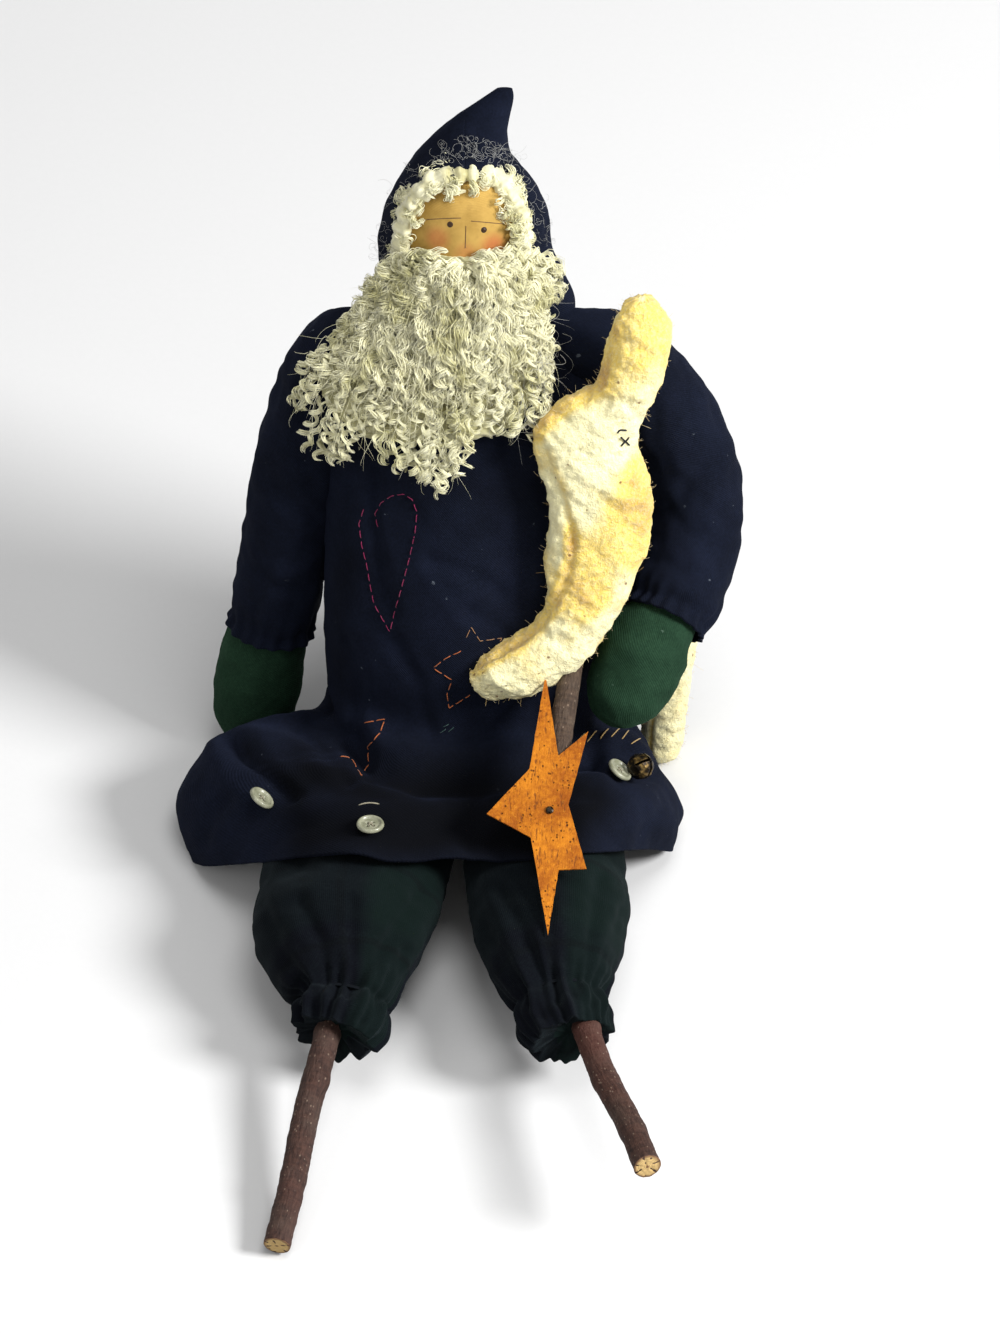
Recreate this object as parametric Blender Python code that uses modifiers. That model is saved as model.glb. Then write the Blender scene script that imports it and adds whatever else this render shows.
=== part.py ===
# A cloth figure that sits on the floor and leans back, in a hooded robe,
# with a stuffed moon under its arm and a tin star on a twig.
# +X is the viewer's right, -Y the front, +Z up. Sizes are in millimetres, and MM turns them to metres.

import math

import bpy
import bmesh
from mathutils import Vector
from mathutils.bvhtree import BVHTree

MM = 0.001

# Cloth, and the room left between neighbours
CLOTH = 1.6
GAP = 0.3
CUT_GAP = 0.45
FLOOR_GAP = 0.6

# Torso: leans back about the seat, with heights measured along its own spine
LEAN = math.radians(15.0)
NECK_HEIGHT = 257.0
TORSO_HALF_WIDTH = 66.0
BELLY_HALF_DEPTH = 48.0
BELLY_FORWARD = 4.0
WAIST_HEIGHT = 62.0

# Seat of the pants
SEAT_HALF_WIDTH = 59.0
SEAT_HALF_DEPTH = 43.0
SEAT_BACK = 4.0

# Pants legs, from the seat forward to the ankles
LEG_AXIS_HEIGHT = 34.0
LEG_HALF_HEIGHT = 33.0
ANKLE_HALF_WIDTH = 20.0
ANKLE_HALF_HEIGHT = 16.0
TIE_RADIUS = 1.1
TIE_EASE = 0.8

# Twigs
TWIG_RADIUS = 6.0
STICK_RADIUS = 5.4
STICK_LENGTH = 98.0

# Skirt
LAP_EASE = 2.6
LAP_HEIGHT = LEG_AXIS_HEIGHT + LEG_HALF_HEIGHT + CLOTH + LAP_EASE
HEM_REACH = 114.0
SKIRT_LEFT = 127.0
SKIRT_RIGHT = 97.0
SKIRT_BACK = 67.0

# Head
HEAD_HALF_WIDTH = 34.0
HEAD_HALF_DEPTH = 32.0
HEAD_HALF_HEIGHT = 37.0
HEAD_RISE = 46.0
HEAD_CENTRE = NECK_HEIGHT + HEAD_RISE
NECK_RADIUS = 16.0

# Hood, with an arched opening for the face
HOOD_EDGE_FORWARD = 8.0
FACE_HALF_WIDTH = 33.5
FACE_ARCH_RISE = 38.5
FACE_DROP = 63.0
FRINGE_RADIUS = 5.6

# Sleeves and mittens
SLEEVE_RADIUS = 22.0
CUFF_OVERLAP = 9.0

# Moon
MOON_HALF_THICKNESS = 13.5
MOON_FORWARD_LOW = 54.0
MOON_FORWARD_HIGH = 40.0

# Tin star, nailed on the stick
STAR_THICKNESS = 0.9
STAR_SLOPE = math.radians(20.8)
NAIL_RADIUS = 0.8
NAIL_HEAD_RADIUS = 1.9
NAIL_LENGTH = 9.0

# Buttons and bell
BUTTON_RADIUS = 6.4
BUTTON_THICKNESS = 2.4
BUTTON_HOLE_RADIUS = 0.85
BUTTON_HOLE_SPREAD = 1.75
BELL_RADIUS = 6.4
BELL_WALL = 0.8
BELL_SLOT = 1.3
PELLET_RADIUS = 1.9

# Faces round each form
AROUND_ROBE = 24
AROUND_BEARD = 26
AROUND_LIMB = 14
AROUND_SMALL = 10


def new_collection(name):
    group = bpy.data.collections.new(name)
    bpy.context.scene.collection.children.link(group)
    return group


for old in list(bpy.data.objects):
    bpy.data.objects.remove(old, do_unlink=True)
PARTS = new_collection("seated_cloth_figure")
CUTTERS = new_collection("cutters")


def finish(name, colour, roughness, metallic=0.0):
    shader = bpy.data.materials.new(name)
    shader.use_nodes = True
    node = shader.node_tree.nodes["Principled BSDF"]
    node.inputs["Base Color"].default_value = (*colour, 1.0)
    node.inputs["Roughness"].default_value = roughness
    node.inputs["Metallic"].default_value = metallic
    return shader


NAVY = finish("navy_flannel", (0.018, 0.026, 0.085), 0.92)
PLAID = finish("plaid_flannel", (0.012, 0.03, 0.045), 0.9)
GREEN = finish("green_wool", (0.018, 0.065, 0.042), 0.92)
MUSLIN = finish("stained_muslin", (0.62, 0.37, 0.15), 0.85)
FLEECE = finish("cream_fleece", (0.72, 0.7, 0.52), 0.8)
BATTING = finish("stained_batting", (0.85, 0.68, 0.38), 0.95)
BARK = finish("twig_bark", (0.085, 0.045, 0.033), 0.85)
TWINE = finish("dark_twine", (0.02, 0.03, 0.05), 0.9)
RUST = finish("rusty_tin", (0.45, 0.2, 0.03), 0.7, 0.3)
DARK_METAL = finish("dark_metal", (0.06, 0.045, 0.03), 0.45, 0.9)
CREAM = finish("cream_button", (0.78, 0.76, 0.6), 0.35)


def leaned(across, forward, up):
    """A point of the torso's own frame, in the frame of the whole figure."""
    return Vector((across,
                   up * math.sin(LEAN) - forward * math.cos(LEAN),
                   up * math.cos(LEAN) + forward * math.sin(LEAN)))


def blend_rows(rows, steps):
    """Rows of numbers with smooth rows between them, Catmull-Rom along the list."""
    smooth = []
    last = len(rows) - 1
    for i in range(last):
        before, start, end, after = rows[max(i - 1, 0)], rows[i], rows[i + 1], rows[min(i + 2, last)]
        for step in range(steps):
            t = step / steps
            smooth.append(tuple(
                0.5 * (2 * b + (c - a) * t + (2 * a - 5 * b + 4 * c - d) * t ** 2
                       + (3 * b - a - 3 * c + d) * t ** 3)
                for a, b, c, d in zip(before, start, end, after)))
    smooth.append(tuple(rows[last]))
    return smooth


def closed_ring(points, count):
    """Count points on a smooth closed curve through the given points."""
    wrapped = [points[-1], *points, points[0], points[1]]
    steps = count // len(points)
    ring = []
    for i in range(1, len(points) + 1):
        a, b, c, d = (Vector(wrapped[i + k]) for k in (-1, 0, 1, 2))
        for step in range(steps):
            t = step / steps
            ring.append(0.5 * (2 * b + (c - a) * t + (2 * a - 5 * b + 4 * c - d) * t ** 2
                               + (3 * b - a - 3 * c + d) * t ** 3))
    return ring


def add_object(name, mesh, material, group):
    piece = bpy.data.objects.new(name, mesh)
    mesh.materials.append(material)
    group.objects.link(piece)
    if group is CUTTERS:
        piece.hide_render = True
        piece.display_type = "WIRE"
    mesh.shade_smooth()
    return piece


def loft(name, rings, material, group=None, caps=True):
    """A skin from ring to ring, closed at both ends by a fan round a middle point."""
    form = bmesh.new()
    rows = [[form.verts.new(point * MM) for point in ring] for ring in rings]
    count = len(rings[0])
    for lower, upper in zip(rows, rows[1:]):
        for j in range(count):
            k = (j + 1) % count
            form.faces.new((lower[j], lower[k], upper[k]))
            form.faces.new((lower[j], upper[k], upper[j]))
    if caps:
        for row in (rows[0], rows[-1]):
            middle = form.verts.new(sum((v.co for v in row), Vector()) / count)
            for j in range(count):
                form.faces.new((row[j], row[(j + 1) % count], middle))
    bmesh.ops.recalc_face_normals(form, faces=form.faces)
    mesh = bpy.data.meshes.new(name)
    form.to_mesh(mesh)
    form.free()
    return add_object(name, mesh, material, group or PARTS)


def tube_rings(stations, around=AROUND_LIMB, steps=1, inset=0.0):
    """Oval rings square to a path. A station is x, y, z, half width and half depth."""
    rows = blend_rows(stations, steps)
    centres = [Vector(row[:3]) for row in rows]
    rings = []
    for i, (centre, row) in enumerate(zip(centres, rows)):
        along = (centres[min(i + 1, len(rows) - 1)] - centres[max(i - 1, 0)]).normalized()
        side = (Vector((1, 0, 0)) - along * along.x).normalized()
        top = along.cross(side)
        wide, deep = row[3] - inset, row[4] - inset
        rings.append([centre + side * wide * math.cos(2 * math.pi * j / around)
                      + top * deep * math.sin(2 * math.pi * j / around) for j in range(around)])
    return rings


def tube(name, stations, material, around=AROUND_LIMB, steps=1, group=None):
    return loft(name, tube_rings(stations, around, steps), material, group)


def evaluated_mesh(piece):
    bpy.context.view_layer.update()
    graph = bpy.context.evaluated_depsgraph_get()
    return bpy.data.meshes.new_from_object(piece.evaluated_get(graph))


def swollen(piece, distance=CUT_GAP, name=None):
    """A cutter: the piece grown by a distance along its own normals."""
    mesh = evaluated_mesh(piece)
    form = bmesh.new()
    form.from_mesh(mesh)
    form.normal_update()
    moved = [vertex.co + vertex.normal * distance * MM for vertex in form.verts]
    for vertex, place in zip(form.verts, moved):
        vertex.co = place
    form.to_mesh(mesh)
    form.free()
    mesh.materials.clear()
    cutter = add_object(name or piece.name + "_room", mesh, MUSLIN, CUTTERS)
    cutter.matrix_world = piece.matrix_world
    return cutter


def cut(piece, *cutters, solver="EXACT"):
    for cutter in cutters:
        saw = piece.modifiers.new("cut_by_" + cutter.name, "BOOLEAN")
        saw.operation = "DIFFERENCE"
        saw.solver = solver
        saw.object = cutter


def torso_rows(inset=0.0):
    """Height, half width, half depth and forward shift of the torso, from the waist to the neck."""
    shape = ((WAIST_HEIGHT, 0.985, 0.96, 1.0), (90.0, 1.0, 1.0, 1.0), (125.0, 0.985, 0.98, 1.0),
             (160.0, 0.97, 0.9, 0.75), (195.0, 0.985, 0.77, 0.5), (220.0, 1.0, 0.65, 0.0),
             (237.0, 0.88, 0.56, 0.0), (249.0, 0.64, 0.48, 0.0), (NECK_HEIGHT, 0.4, 0.41, 0.0))
    rows = []
    for up, wide, deep, shift in shape:
        lower = 2 * inset * max(0.0, (up - WAIST_HEIGHT) / (NECK_HEIGHT - WAIST_HEIGHT)) ** 3
        rows.append((up - lower, TORSO_HALF_WIDTH * wide - inset, BELLY_HALF_DEPTH * deep - inset,
                     BELLY_FORWARD * shift))
    return rows


def soft_fold(turn, amount):
    """How far the cloth stands out at an angle round the body, in loose upright folds."""
    return amount * (0.6 * math.cos(5 * turn + 0.7) + 0.4 * math.cos(9 * turn + 2.0))


def torso_ring(row, folds=0.0):
    """A ring of the torso, from its middle front round by the viewer's right."""
    up, wide, deep, forward = row
    ring = []
    for j in range(AROUND_ROBE):
        turn = 2 * math.pi * j / AROUND_ROBE
        out = soft_fold(turn, folds)
        ring.append(leaned((wide + out) * math.sin(turn), forward + (deep + out) * math.cos(turn), up))
    return ring


def skirt_rings():
    """Rings of the spread skirt, each through twelve points from the middle front round by the right."""
    lap, left, right, back, reach = LAP_HEIGHT, SKIRT_LEFT, SKIRT_RIGHT, SKIRT_BACK, HEM_REACH
    floor = FLOOR_GAP
    crest = [(0, -62, lap - 5), (38, -64, lap), (69, -54, lap - 7), (right - 14, -34, 48),
             (right - 13, -8, 36), (62, 36, 34), (0, back - 2, 30), (-62, 38, 38), (-84, 2, 50),
             (17 - left, -10, 48), (25 - left, -42, 58), (-52, -64, lap)]
    hollow = [(0, -42, 66), (34, -43, 64), (56, -30, 58), (66, -8, 50), (67, 8, 46), (59, 41, 44),
              (0, back - 1, 42), (-59, 41, 44), (-67, 8, 46), (-67, -6, 48), (-58, -30, 56), (-36, -43, 64)]
    edge = [(0, 24 - reach, lap - 6), (42, 22 - reach, lap), (76, -79, lap - 14), (right + 1, -46, 28),
            (right, -16, 14), (66, 41, 14), (0, back + 1, 12), (-66, 43, 14), (-90, 7, 24),
            (-left, -8, 20), (-left - 2, -44, 29), (-58, 22 - reach, lap)]
    hem = [(0, 5 - reach, lap - 8), (42, -reach, lap), (80, -86, 46), (right, -43, 3),
           (right - 5, -14, floor), (66, 41, floor), (0, back, floor), (-66, 43, floor), (-88, 7, floor),
           (6 - left, -8, floor), (2 - left, -47, 2), (-58, -reach, lap)]
    rows = [closed_ring(points, AROUND_ROBE) for points in (hem, edge, crest, hollow)]
    rings = []
    for lower, upper in zip(rows, rows[1:]):
        rings.append(lower)
        rings.append([a.lerp(b, 0.5) for a, b in zip(lower, upper)])
    rings.append(rows[-1])
    for ring in rings:
        for point in ring:
            point.z = max(point.z, floor)
    return rings


def robe_rings():
    return skirt_rings() + [torso_ring(row, 0.8) for row in torso_rows()]


def make_robe():
    """The robe, one skin of cloth that is open at the neck and at the hem."""
    robe = loft("robe", robe_rings(), NAVY, caps=False)
    wall = robe.modifiers.new("cloth", "SOLIDIFY")
    wall.thickness = CLOTH * MM
    wall.offset = -1.0
    return robe


def make_stuffing():
    """The seat of the pants, and the muslin torso on it."""
    under = WAIST_HEIGHT - GAP
    rows = [(22.0, 1.0, 1.0), (42.0, 1.02, 1.0), (under, 0.98, 0.96)]
    rings = []
    for height, part in ((0.0, 0.84), (2.5, 0.93), (9.0, 0.99)):
        rings.append([Vector((SEAT_HALF_WIDTH * part * math.sin(turn),
                              SEAT_BACK - SEAT_HALF_DEPTH * part * math.cos(turn), height))
                      for turn in (2 * math.pi * j / AROUND_LIMB for j in range(AROUND_LIMB))])
    for up, wide, deep in rows:
        rings.append([leaned(SEAT_HALF_WIDTH * wide * math.sin(turn),
                             BELLY_FORWARD * 0.5 + SEAT_HALF_DEPTH * deep * math.cos(turn), up)
                      for turn in (2 * math.pi * j / AROUND_LIMB for j in range(AROUND_LIMB))])
    seat = loft("pants_seat", rings, PLAID)
    rows = [row for row in torso_rows(CLOTH + GAP + 1.2) if row[0] < NECK_HEIGHT - 2]
    body = loft("stuffed_body", [torso_ring(row)[::2] for row in rows], MUSLIN)
    return seat, body


# Legs: x, y, rise of the axis, half width and change of the half height, from the seat to the ankle
LEFT_LEG = ((-28, -24, -3, 26, -8), (-42, -58, -2, 40, -3), (-51, -89, 0, 43.5, 0),
            (-57, -121, 0, 42, 0), (-57.5, -140, 0, 38, -3), (-56, -156, 0, 30, -9),
            (-55, -166, 0, 24, -13))
LEFT_ANKLE = Vector((-56.0, -174.0, 34.0))
LEFT_RUFFLE = ((-58, -184, 33.5, 22.5, 18), (-61, -193, 32.5, 17.5, 13.5))
LEFT_TWIG = (Vector((-54.5, -142.0, 40.5)), Vector((-85.6, -299.7, 7.2)))

RIGHT_LEG = ((24, -24, -3, 24, -8), (35, -60, -2, 36, -3), (38.6, -103, 1, 38, -1),
             (39.6, -129, 2, 35.4, -2), (40.7, -150, 4, 30, -6), (42.2, -166, 4, 24.6, -12))
RIGHT_ANKLE = Vector((43.5, -176.0, 38.5))
RIGHT_RUFFLE = ((46, -189, 38.5, 22.5, 17), (49, -200, 38.5, 18, 13.5))
RIGHT_TWIG = (Vector((42.4, -145.4, 33.6)), Vector((82.8, -293.0, 53.0)))


def make_leg(side, thigh, ankle, ruffle, twig_ends):
    """A stuffed pants leg, tied round its twig, and the twig pushed up into it."""
    stations = [(x, y, LEG_AXIS_HEIGHT + lift, wide, LEG_HALF_HEIGHT + taller)
                for x, y, lift, wide, taller in thigh]
    stations.append((*ankle, ANKLE_HALF_WIDTH, ANKLE_HALF_HEIGHT))
    stations.extend(ruffle)
    leg = tube("pants_" + side + "_leg", stations, PLAID)
    start, end = twig_ends
    bend = Vector((1.6, 0.0, 1.2))
    joints = ((0.0, 0.97, 0.0), (0.28, 1.0, 0.7), (0.56, 1.04, -0.6), (0.8, 1.02, 0.5), (1.0, 1.06, 0.0))
    path = [(*(start.lerp(end, t) + bend * sway), TWIG_RADIUS * girth, TWIG_RADIUS * girth)
            for t, girth, sway in joints]
    twig = tube(side + "_twig_leg", path, BARK, around=AROUND_SMALL)
    twig_room = swollen(twig, GAP + 0.1)
    cut(leg, twig_room)
    outward = (Vector(ruffle[0][:3]) - ankle).normalized()
    tie = make_tie(side, ankle, outward)
    return leg, twig, tie


def make_tie(side, ankle, outward):
    """A ring of twine in the groove of the gathered ankle."""
    line = bpy.data.curves.new(side + "_tie_line", "CURVE")
    line.dimensions = "3D"
    line.bevel_depth = TIE_RADIUS * MM
    line.bevel_resolution = 0
    path = line.splines.new("POLY")
    count = AROUND_LIMB
    path.points.add(count - 1)
    path.use_cyclic_u = True
    sideways = (Vector((1, 0, 0)) - outward * outward.x).normalized()
    upward = outward.cross(sideways)
    for j in range(count):
        turn = 2 * math.pi * j / count
        room = TIE_RADIUS + GAP + TIE_EASE
        place = (ankle + sideways * (ANKLE_HALF_WIDTH + room) * math.cos(turn)
                 + upward * (ANKLE_HALF_HEIGHT + room) * math.sin(turn))
        path.points[j].co = (*(place * MM), 1.0)
    guide = bpy.data.objects.new(side + "_tie_guide", line)
    CUTTERS.objects.link(guide)
    mesh = evaluated_mesh(guide)
    mesh.materials.clear()
    bpy.data.objects.remove(guide, do_unlink=True)
    return add_object(side + "_ankle_tie", mesh, TWINE, PARTS)


# Arms: x, y, z, half width and half depth, from the shoulder to the cuff
LEFT_SLEEVE = ((-46, 61, 236, -9, -7), (-60, 60, 227, -4, -1), (-68, 57, 205, -2, 1), (-76, 51.5, 168, 0, 1),
               (-82, 46.5, 130, -0.5, 0), (-87, 42, 98, -1, -0.5), (-91.5, 39, 70, -1, -1))
RIGHT_SLEEVE = ((48, 61, 236, -9, -7), (70, 60, 228, -3, -2), (83, 57, 209, -1, 0), (95, 52, 192, 0, 0),
                (105, 46, 166, 0.5, 0), (107, 34, 141, 0.5, 0), (101, 14, 123, -0.5, -1.5),
                (92.5, -3, 113.6, -3, -3.5))
LEFT_MITTEN = ((-94, 37, 59, 20.3, 18.5), (-97.5, 33.5, 34, 21.8, 18), (-99.5, 31, 14, 18, 14.5),
               (-100, 30.5, 5, 10.5, 9), (-100, 30.5, 1.6, 4, 3.5))
RIGHT_MITTEN = ((87, -11, 107, 19, 17.5), (78.5, -20, 95, 20.5, 17), (71.5, -27, 85.5, 17.5, 14.5),
                (66.8, -31.5, 79.5, 11, 9), (65, -33.2, 77, 4.5, 3.5))


def sleeve_stations(stations):
    """The sleeve's stations, with one more at the wrist, where the stuffed arm meets the mitten."""
    rows = [(x, y, z, SLEEVE_RADIUS + wide, SLEEVE_RADIUS + deep) for x, y, z, wide, deep in stations]
    cuff, before = Vector(rows[-1][:3]), Vector(rows[-2][:3])
    wrist = cuff + (before - cuff).normalized() * CUFF_OVERLAP
    return rows[:-1] + [(*wrist, *rows[-1][3:]), rows[-1]]


def make_arm(side, stations, hand):
    """A sleeve open at the cuff, the stuffed arm in it, and the mitten that comes out of the cuff."""
    rows = sleeve_stations(stations)
    sleeve = loft(side + "_sleeve", tube_rings(rows), NAVY)
    hollow = tube_rings(rows, inset=CLOTH)[1:]
    past = (Vector(rows[-1][:3]) - Vector(rows[-2][:3])).normalized() * CLOTH * 3
    hollow.append([point + past for point in hollow[-1]])
    cut(sleeve, loft(side + "_sleeve_hollow", hollow, NAVY, CUTTERS), solver="MANIFOLD")
    inside = tube_rings(rows, inset=CLOTH + GAP + 0.2)
    shoulder = [a.lerp(b, 0.15) for a, b in zip(inside[1], inside[2])]
    arm = loft(side + "_arm", [shoulder, *inside[2:-1]], MUSLIN)
    tucked = [a.lerp(b, 0.5 * GAP + 0.1) for a, b in zip(inside[-2], inside[-1])]
    fingers = tube_rings([rows[-1], *hand])[1:]
    mitten = loft(side + "_mitten", [tucked, inside[-1], *fingers], GREEN)
    return sleeve, arm, mitten


def make_head():
    """The muslin head on its short neck."""
    rings = []
    rows = [(NECK_HEIGHT - 0.8, NECK_RADIUS, NECK_RADIUS), (NECK_HEIGHT + 9, NECK_RADIUS + 1, NECK_RADIUS)]
    for angle in (-50, -28, -8, 12, 32, 52, 72):
        turn = math.radians(angle)
        rows.append((HEAD_CENTRE + HEAD_HALF_HEIGHT * math.sin(turn),
                     HEAD_HALF_WIDTH * math.cos(turn), HEAD_HALF_DEPTH * math.cos(turn)))
    for up, wide, deep in rows:
        rings.append([leaned(wide * math.sin(turn), deep * math.cos(turn), up)
                      for turn in (2 * math.pi * j / 16 for j in range(16))])
    return loft("head", rings, MUSLIN)


# Hood: height over the head's centre, left and right edges, back and front, up to the peak that leans right
HOOD_ROWS = ((-51, -35, 45, -31, 12), (-40, -38, 46, -35, 16), (-27, -40, 42, -38, 18),
             (-13, -41, 40.5, -39, 19), (1, -39.5, 39, -38.5, 19), (13, -35, 35, -36, 18),
             (24, -28.5, 29, -31.5, 17), (33, -22, 22.5, -26, 15), (41, -15, 20.5, -19, 12),
             (49, -7, 20.5, -13, 8), (57, 4, 21.3, -8, 4), (63.5, 13, 21.5, -4.5, 1.5))
HOOD_TIP = (18.6, -1.5, 67.5)


def make_hood():
    """The hood: one pointed form, hollowed by the head and opened in front of the face."""
    rings = []
    for rise, left, right, back, front in HOOD_ROWS:
        middle, wide = (left + right) / 2, (right - left) / 2
        centre, deep = (back + front) / 2, (front - back) / 2
        height = HEAD_CENTRE + rise
        rings.append([leaned(middle + wide * math.sin(turn), centre + deep * math.cos(turn), height)
                      for turn in (2 * math.pi * j / 16 for j in range(16))])
    tip = leaned(HOOD_TIP[0], HOOD_TIP[1], HEAD_CENTRE + HOOD_TIP[2])
    rings.append([tip + (point - tip) * 0.12 for point in rings[-1]])
    hood = loft("hood", rings, NAVY)
    arch = []
    for forward in (HOOD_EDGE_FORWARD, 70.0):
        line = []
        for j in range(11):
            turn = math.radians(-12 + 204 * j / 10)
            line.append(leaned(FACE_HALF_WIDTH * math.cos(turn), forward,
                               HEAD_CENTRE + FACE_ARCH_RISE * math.sin(turn)))
        line.append(leaned(-FACE_HALF_WIDTH, forward, HEAD_CENTRE - FACE_DROP))
        line.append(leaned(FACE_HALF_WIDTH, forward, HEAD_CENTRE - FACE_DROP))
        arch.append(line)
    cut(hood, loft("face_opening", arch, NAVY, CUTTERS))
    return hood


def make_fringe():
    """The fleece that frames the face, laid on the head along the hood's edge."""
    arch = ((-30, -11), (-27.5, 2), (-22.5, 16), (-13, 27), (-1, 32), (11, 30.5), (18.5, 24),
            (23, 13), (25.5, 1), (27, -11))
    stations = []
    for across, rise in arch:
        level = 1 - (across / HEAD_HALF_WIDTH) ** 2 - (rise / HEAD_HALF_HEIGHT) ** 2
        forward = HEAD_HALF_DEPTH * math.sqrt(max(level, 0.04)) + 1.5
        stations.append((*leaned(across, forward, HEAD_CENTRE + rise), FRINGE_RADIUS, FRINGE_RADIUS))
    centres = [Vector(row[:3]) for row in blend_rows(stations, 2)]
    out = leaned(0, 1, 0)
    rings = []
    for i, centre in enumerate(centres):
        along = (centres[min(i + 1, len(centres) - 1)] - centres[max(i - 1, 0)]).normalized()
        side = along.cross(out).normalized()
        face = side.cross(along)
        girth = FRINGE_RADIUS * (1 + 0.12 * math.cos(2.4 * i))
        rings.append([centre + (side * math.cos(turn) + face * math.sin(turn)) * girth
                      for turn in (2 * math.pi * j / 8 for j in range(8))])
    return loft("hair_fringe", rings, FLEECE)


# Beard: drop below the head's centre, left and right ends, forward in the middle, fall to the sides,
# half thickness
BEARD_ROWS = ((2, -23, 14, 31, 14, 2.5), (7, -35, 37, 32, 17, 6), (19, -45, 44, 33, 14, 8.5),
              (35, -50, 44, 35, 11, 9.5), (51, -66, 40, 38, 8, 9.5), (65, -77, 40, 40, 6, 9.5),
              (81, -77, 39, 42, 5.5, 9), (95, -71, 36, 44, 5, 8), (105, -48, 24, 47, 5, 6),
              (113, -25, 0, 50, 4, 3.5))


def make_beard():
    """The beard: a curved mat of locks that sweeps down to the left over the chest."""
    rings = []
    for i, (drop, left, right, forward, fall, thick) in enumerate(BEARD_ROWS):
        ring = []
        for j in range(AROUND_BEARD):
            turn = 2 * math.pi * j / AROUND_BEARD
            across = (left + right) / 2 + (right - left) / 2 * math.cos(turn)
            locks = 1 + 0.2 * math.cos(0.45 * across + 0.9 * i)
            depth = forward - fall * (across / 40) ** 2 + thick * math.sin(turn) * locks
            ring.append(leaned(across, depth, HEAD_CENTRE - drop))
        rings.append(ring)
    return loft("beard", rings, FLEECE)


# Moon: left and right edges, each as across and up, from its upper horn down to its lower one
MOON_ROWS = ((75, 281, 87.4, 280.4), (69.5, 272.2, 93.4, 273.2), (65.8, 261, 94.8, 263),
             (62.1, 245.3, 91.5, 245.8), (58, 237.2, 87.4, 234.6), (46, 232.1, 82.8, 225),
             (35, 221.9, 79.6, 214.3), (31.7, 212.3, 79.6, 207.2), (34.5, 197, 84.2, 196),
             (38.6, 180.7, 86.5, 181.8), (38.2, 161.4, 85.1, 161.4), (36.3, 148.7, 80.5, 148.2),
             (38.2, 136, 74.5, 131.9), (35.9, 124.8, 64.9, 114.1), (28, 115.2, 55.7, 100.9),
             (15.2, 106.5, 42.3, 89.8), (6.9, 99.9, 28.5, 83.1), (3.2, 94.3, 14.7, 81.1))
MOON_ENDS = ((81, 284.5), (4.2, 86.5))


def moon_forward(up):
    """How far in front of the spine the moon's middle lies, less towards its upper horn."""
    low, high = MOON_ROWS[-1][1], MOON_ROWS[0][1]
    part = min(max((up - low) / (high - low), 0.0), 1.0)
    return MOON_FORWARD_LOW + (MOON_FORWARD_HIGH - MOON_FORWARD_LOW) * part


def make_moon():
    """A stuffed crescent with a nose, cut flat and filled, so that its edges are thin."""
    around = 12
    rings = []
    rows = [(*MOON_ENDS[0], *MOON_ENDS[0])] + list(MOON_ROWS) + [(*MOON_ENDS[1], *MOON_ENDS[1])]
    for i, (left, left_up, right, right_up) in enumerate(rows):
        middle = Vector(((left + right) / 2, (left_up + right_up) / 2))
        half = Vector(((right - left) / 2, (right_up - left_up) / 2))
        if half.length < 1.0:
            toward = rows[1] if i == 0 else rows[-2]
            half = Vector(((toward[2] - toward[0]) / 2, (toward[3] - toward[1]) / 2)) * 0.45
        thick = min(0.47 * 2 * half.length, MOON_HALF_THICKNESS)
        ring = []
        for j in range(around):
            turn = 2 * math.pi * j / around
            place = middle + half * math.cos(turn)
            ring.append(leaned(place.x, moon_forward(middle.y) + thick * math.sin(turn), place.y))
        rings.append(ring)
    return loft("moon", rings, BATTING)


ROLL_STATIONS = ((92.2, 20, 1.6, 5, 5), (92.4, 20, 5, 8.6, 8.6), (92.8, 20, 16, 10.2, 10.2),
                 (93.6, 19.5, 34, 10.6, 10.6), (95.2, 18.5, 56, 11, 11), (97, 17, 78, 11, 11),
                 (98.4, 15.5, 92, 9.5, 9.5), (99, 15, 98, 6, 6))


# Star: the nail's place, and the outline across and down the slope, from the top point round by the right
NAIL_PLACE = Vector((39.0, -100.1, 86.1))
STAR_OUTLINE = ((-1.8, 69.1), (4.1, 27.7), (17.9, 39.9), (8.7, 3.0), (17.0, -29.3), (4.1, -29.8),
                (-0.9, -62.6), (-8.7, -13.6), (-29.0, -1.5), (-9.2, 21.2))


def star_frame():
    """Across, up the slope, and out of the face of the tin star."""
    across = Vector((1, 0, 0))
    up_slope = Vector((0, math.cos(STAR_SLOPE), math.sin(STAR_SLOPE)))
    return across, up_slope, across.cross(up_slope)


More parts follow.
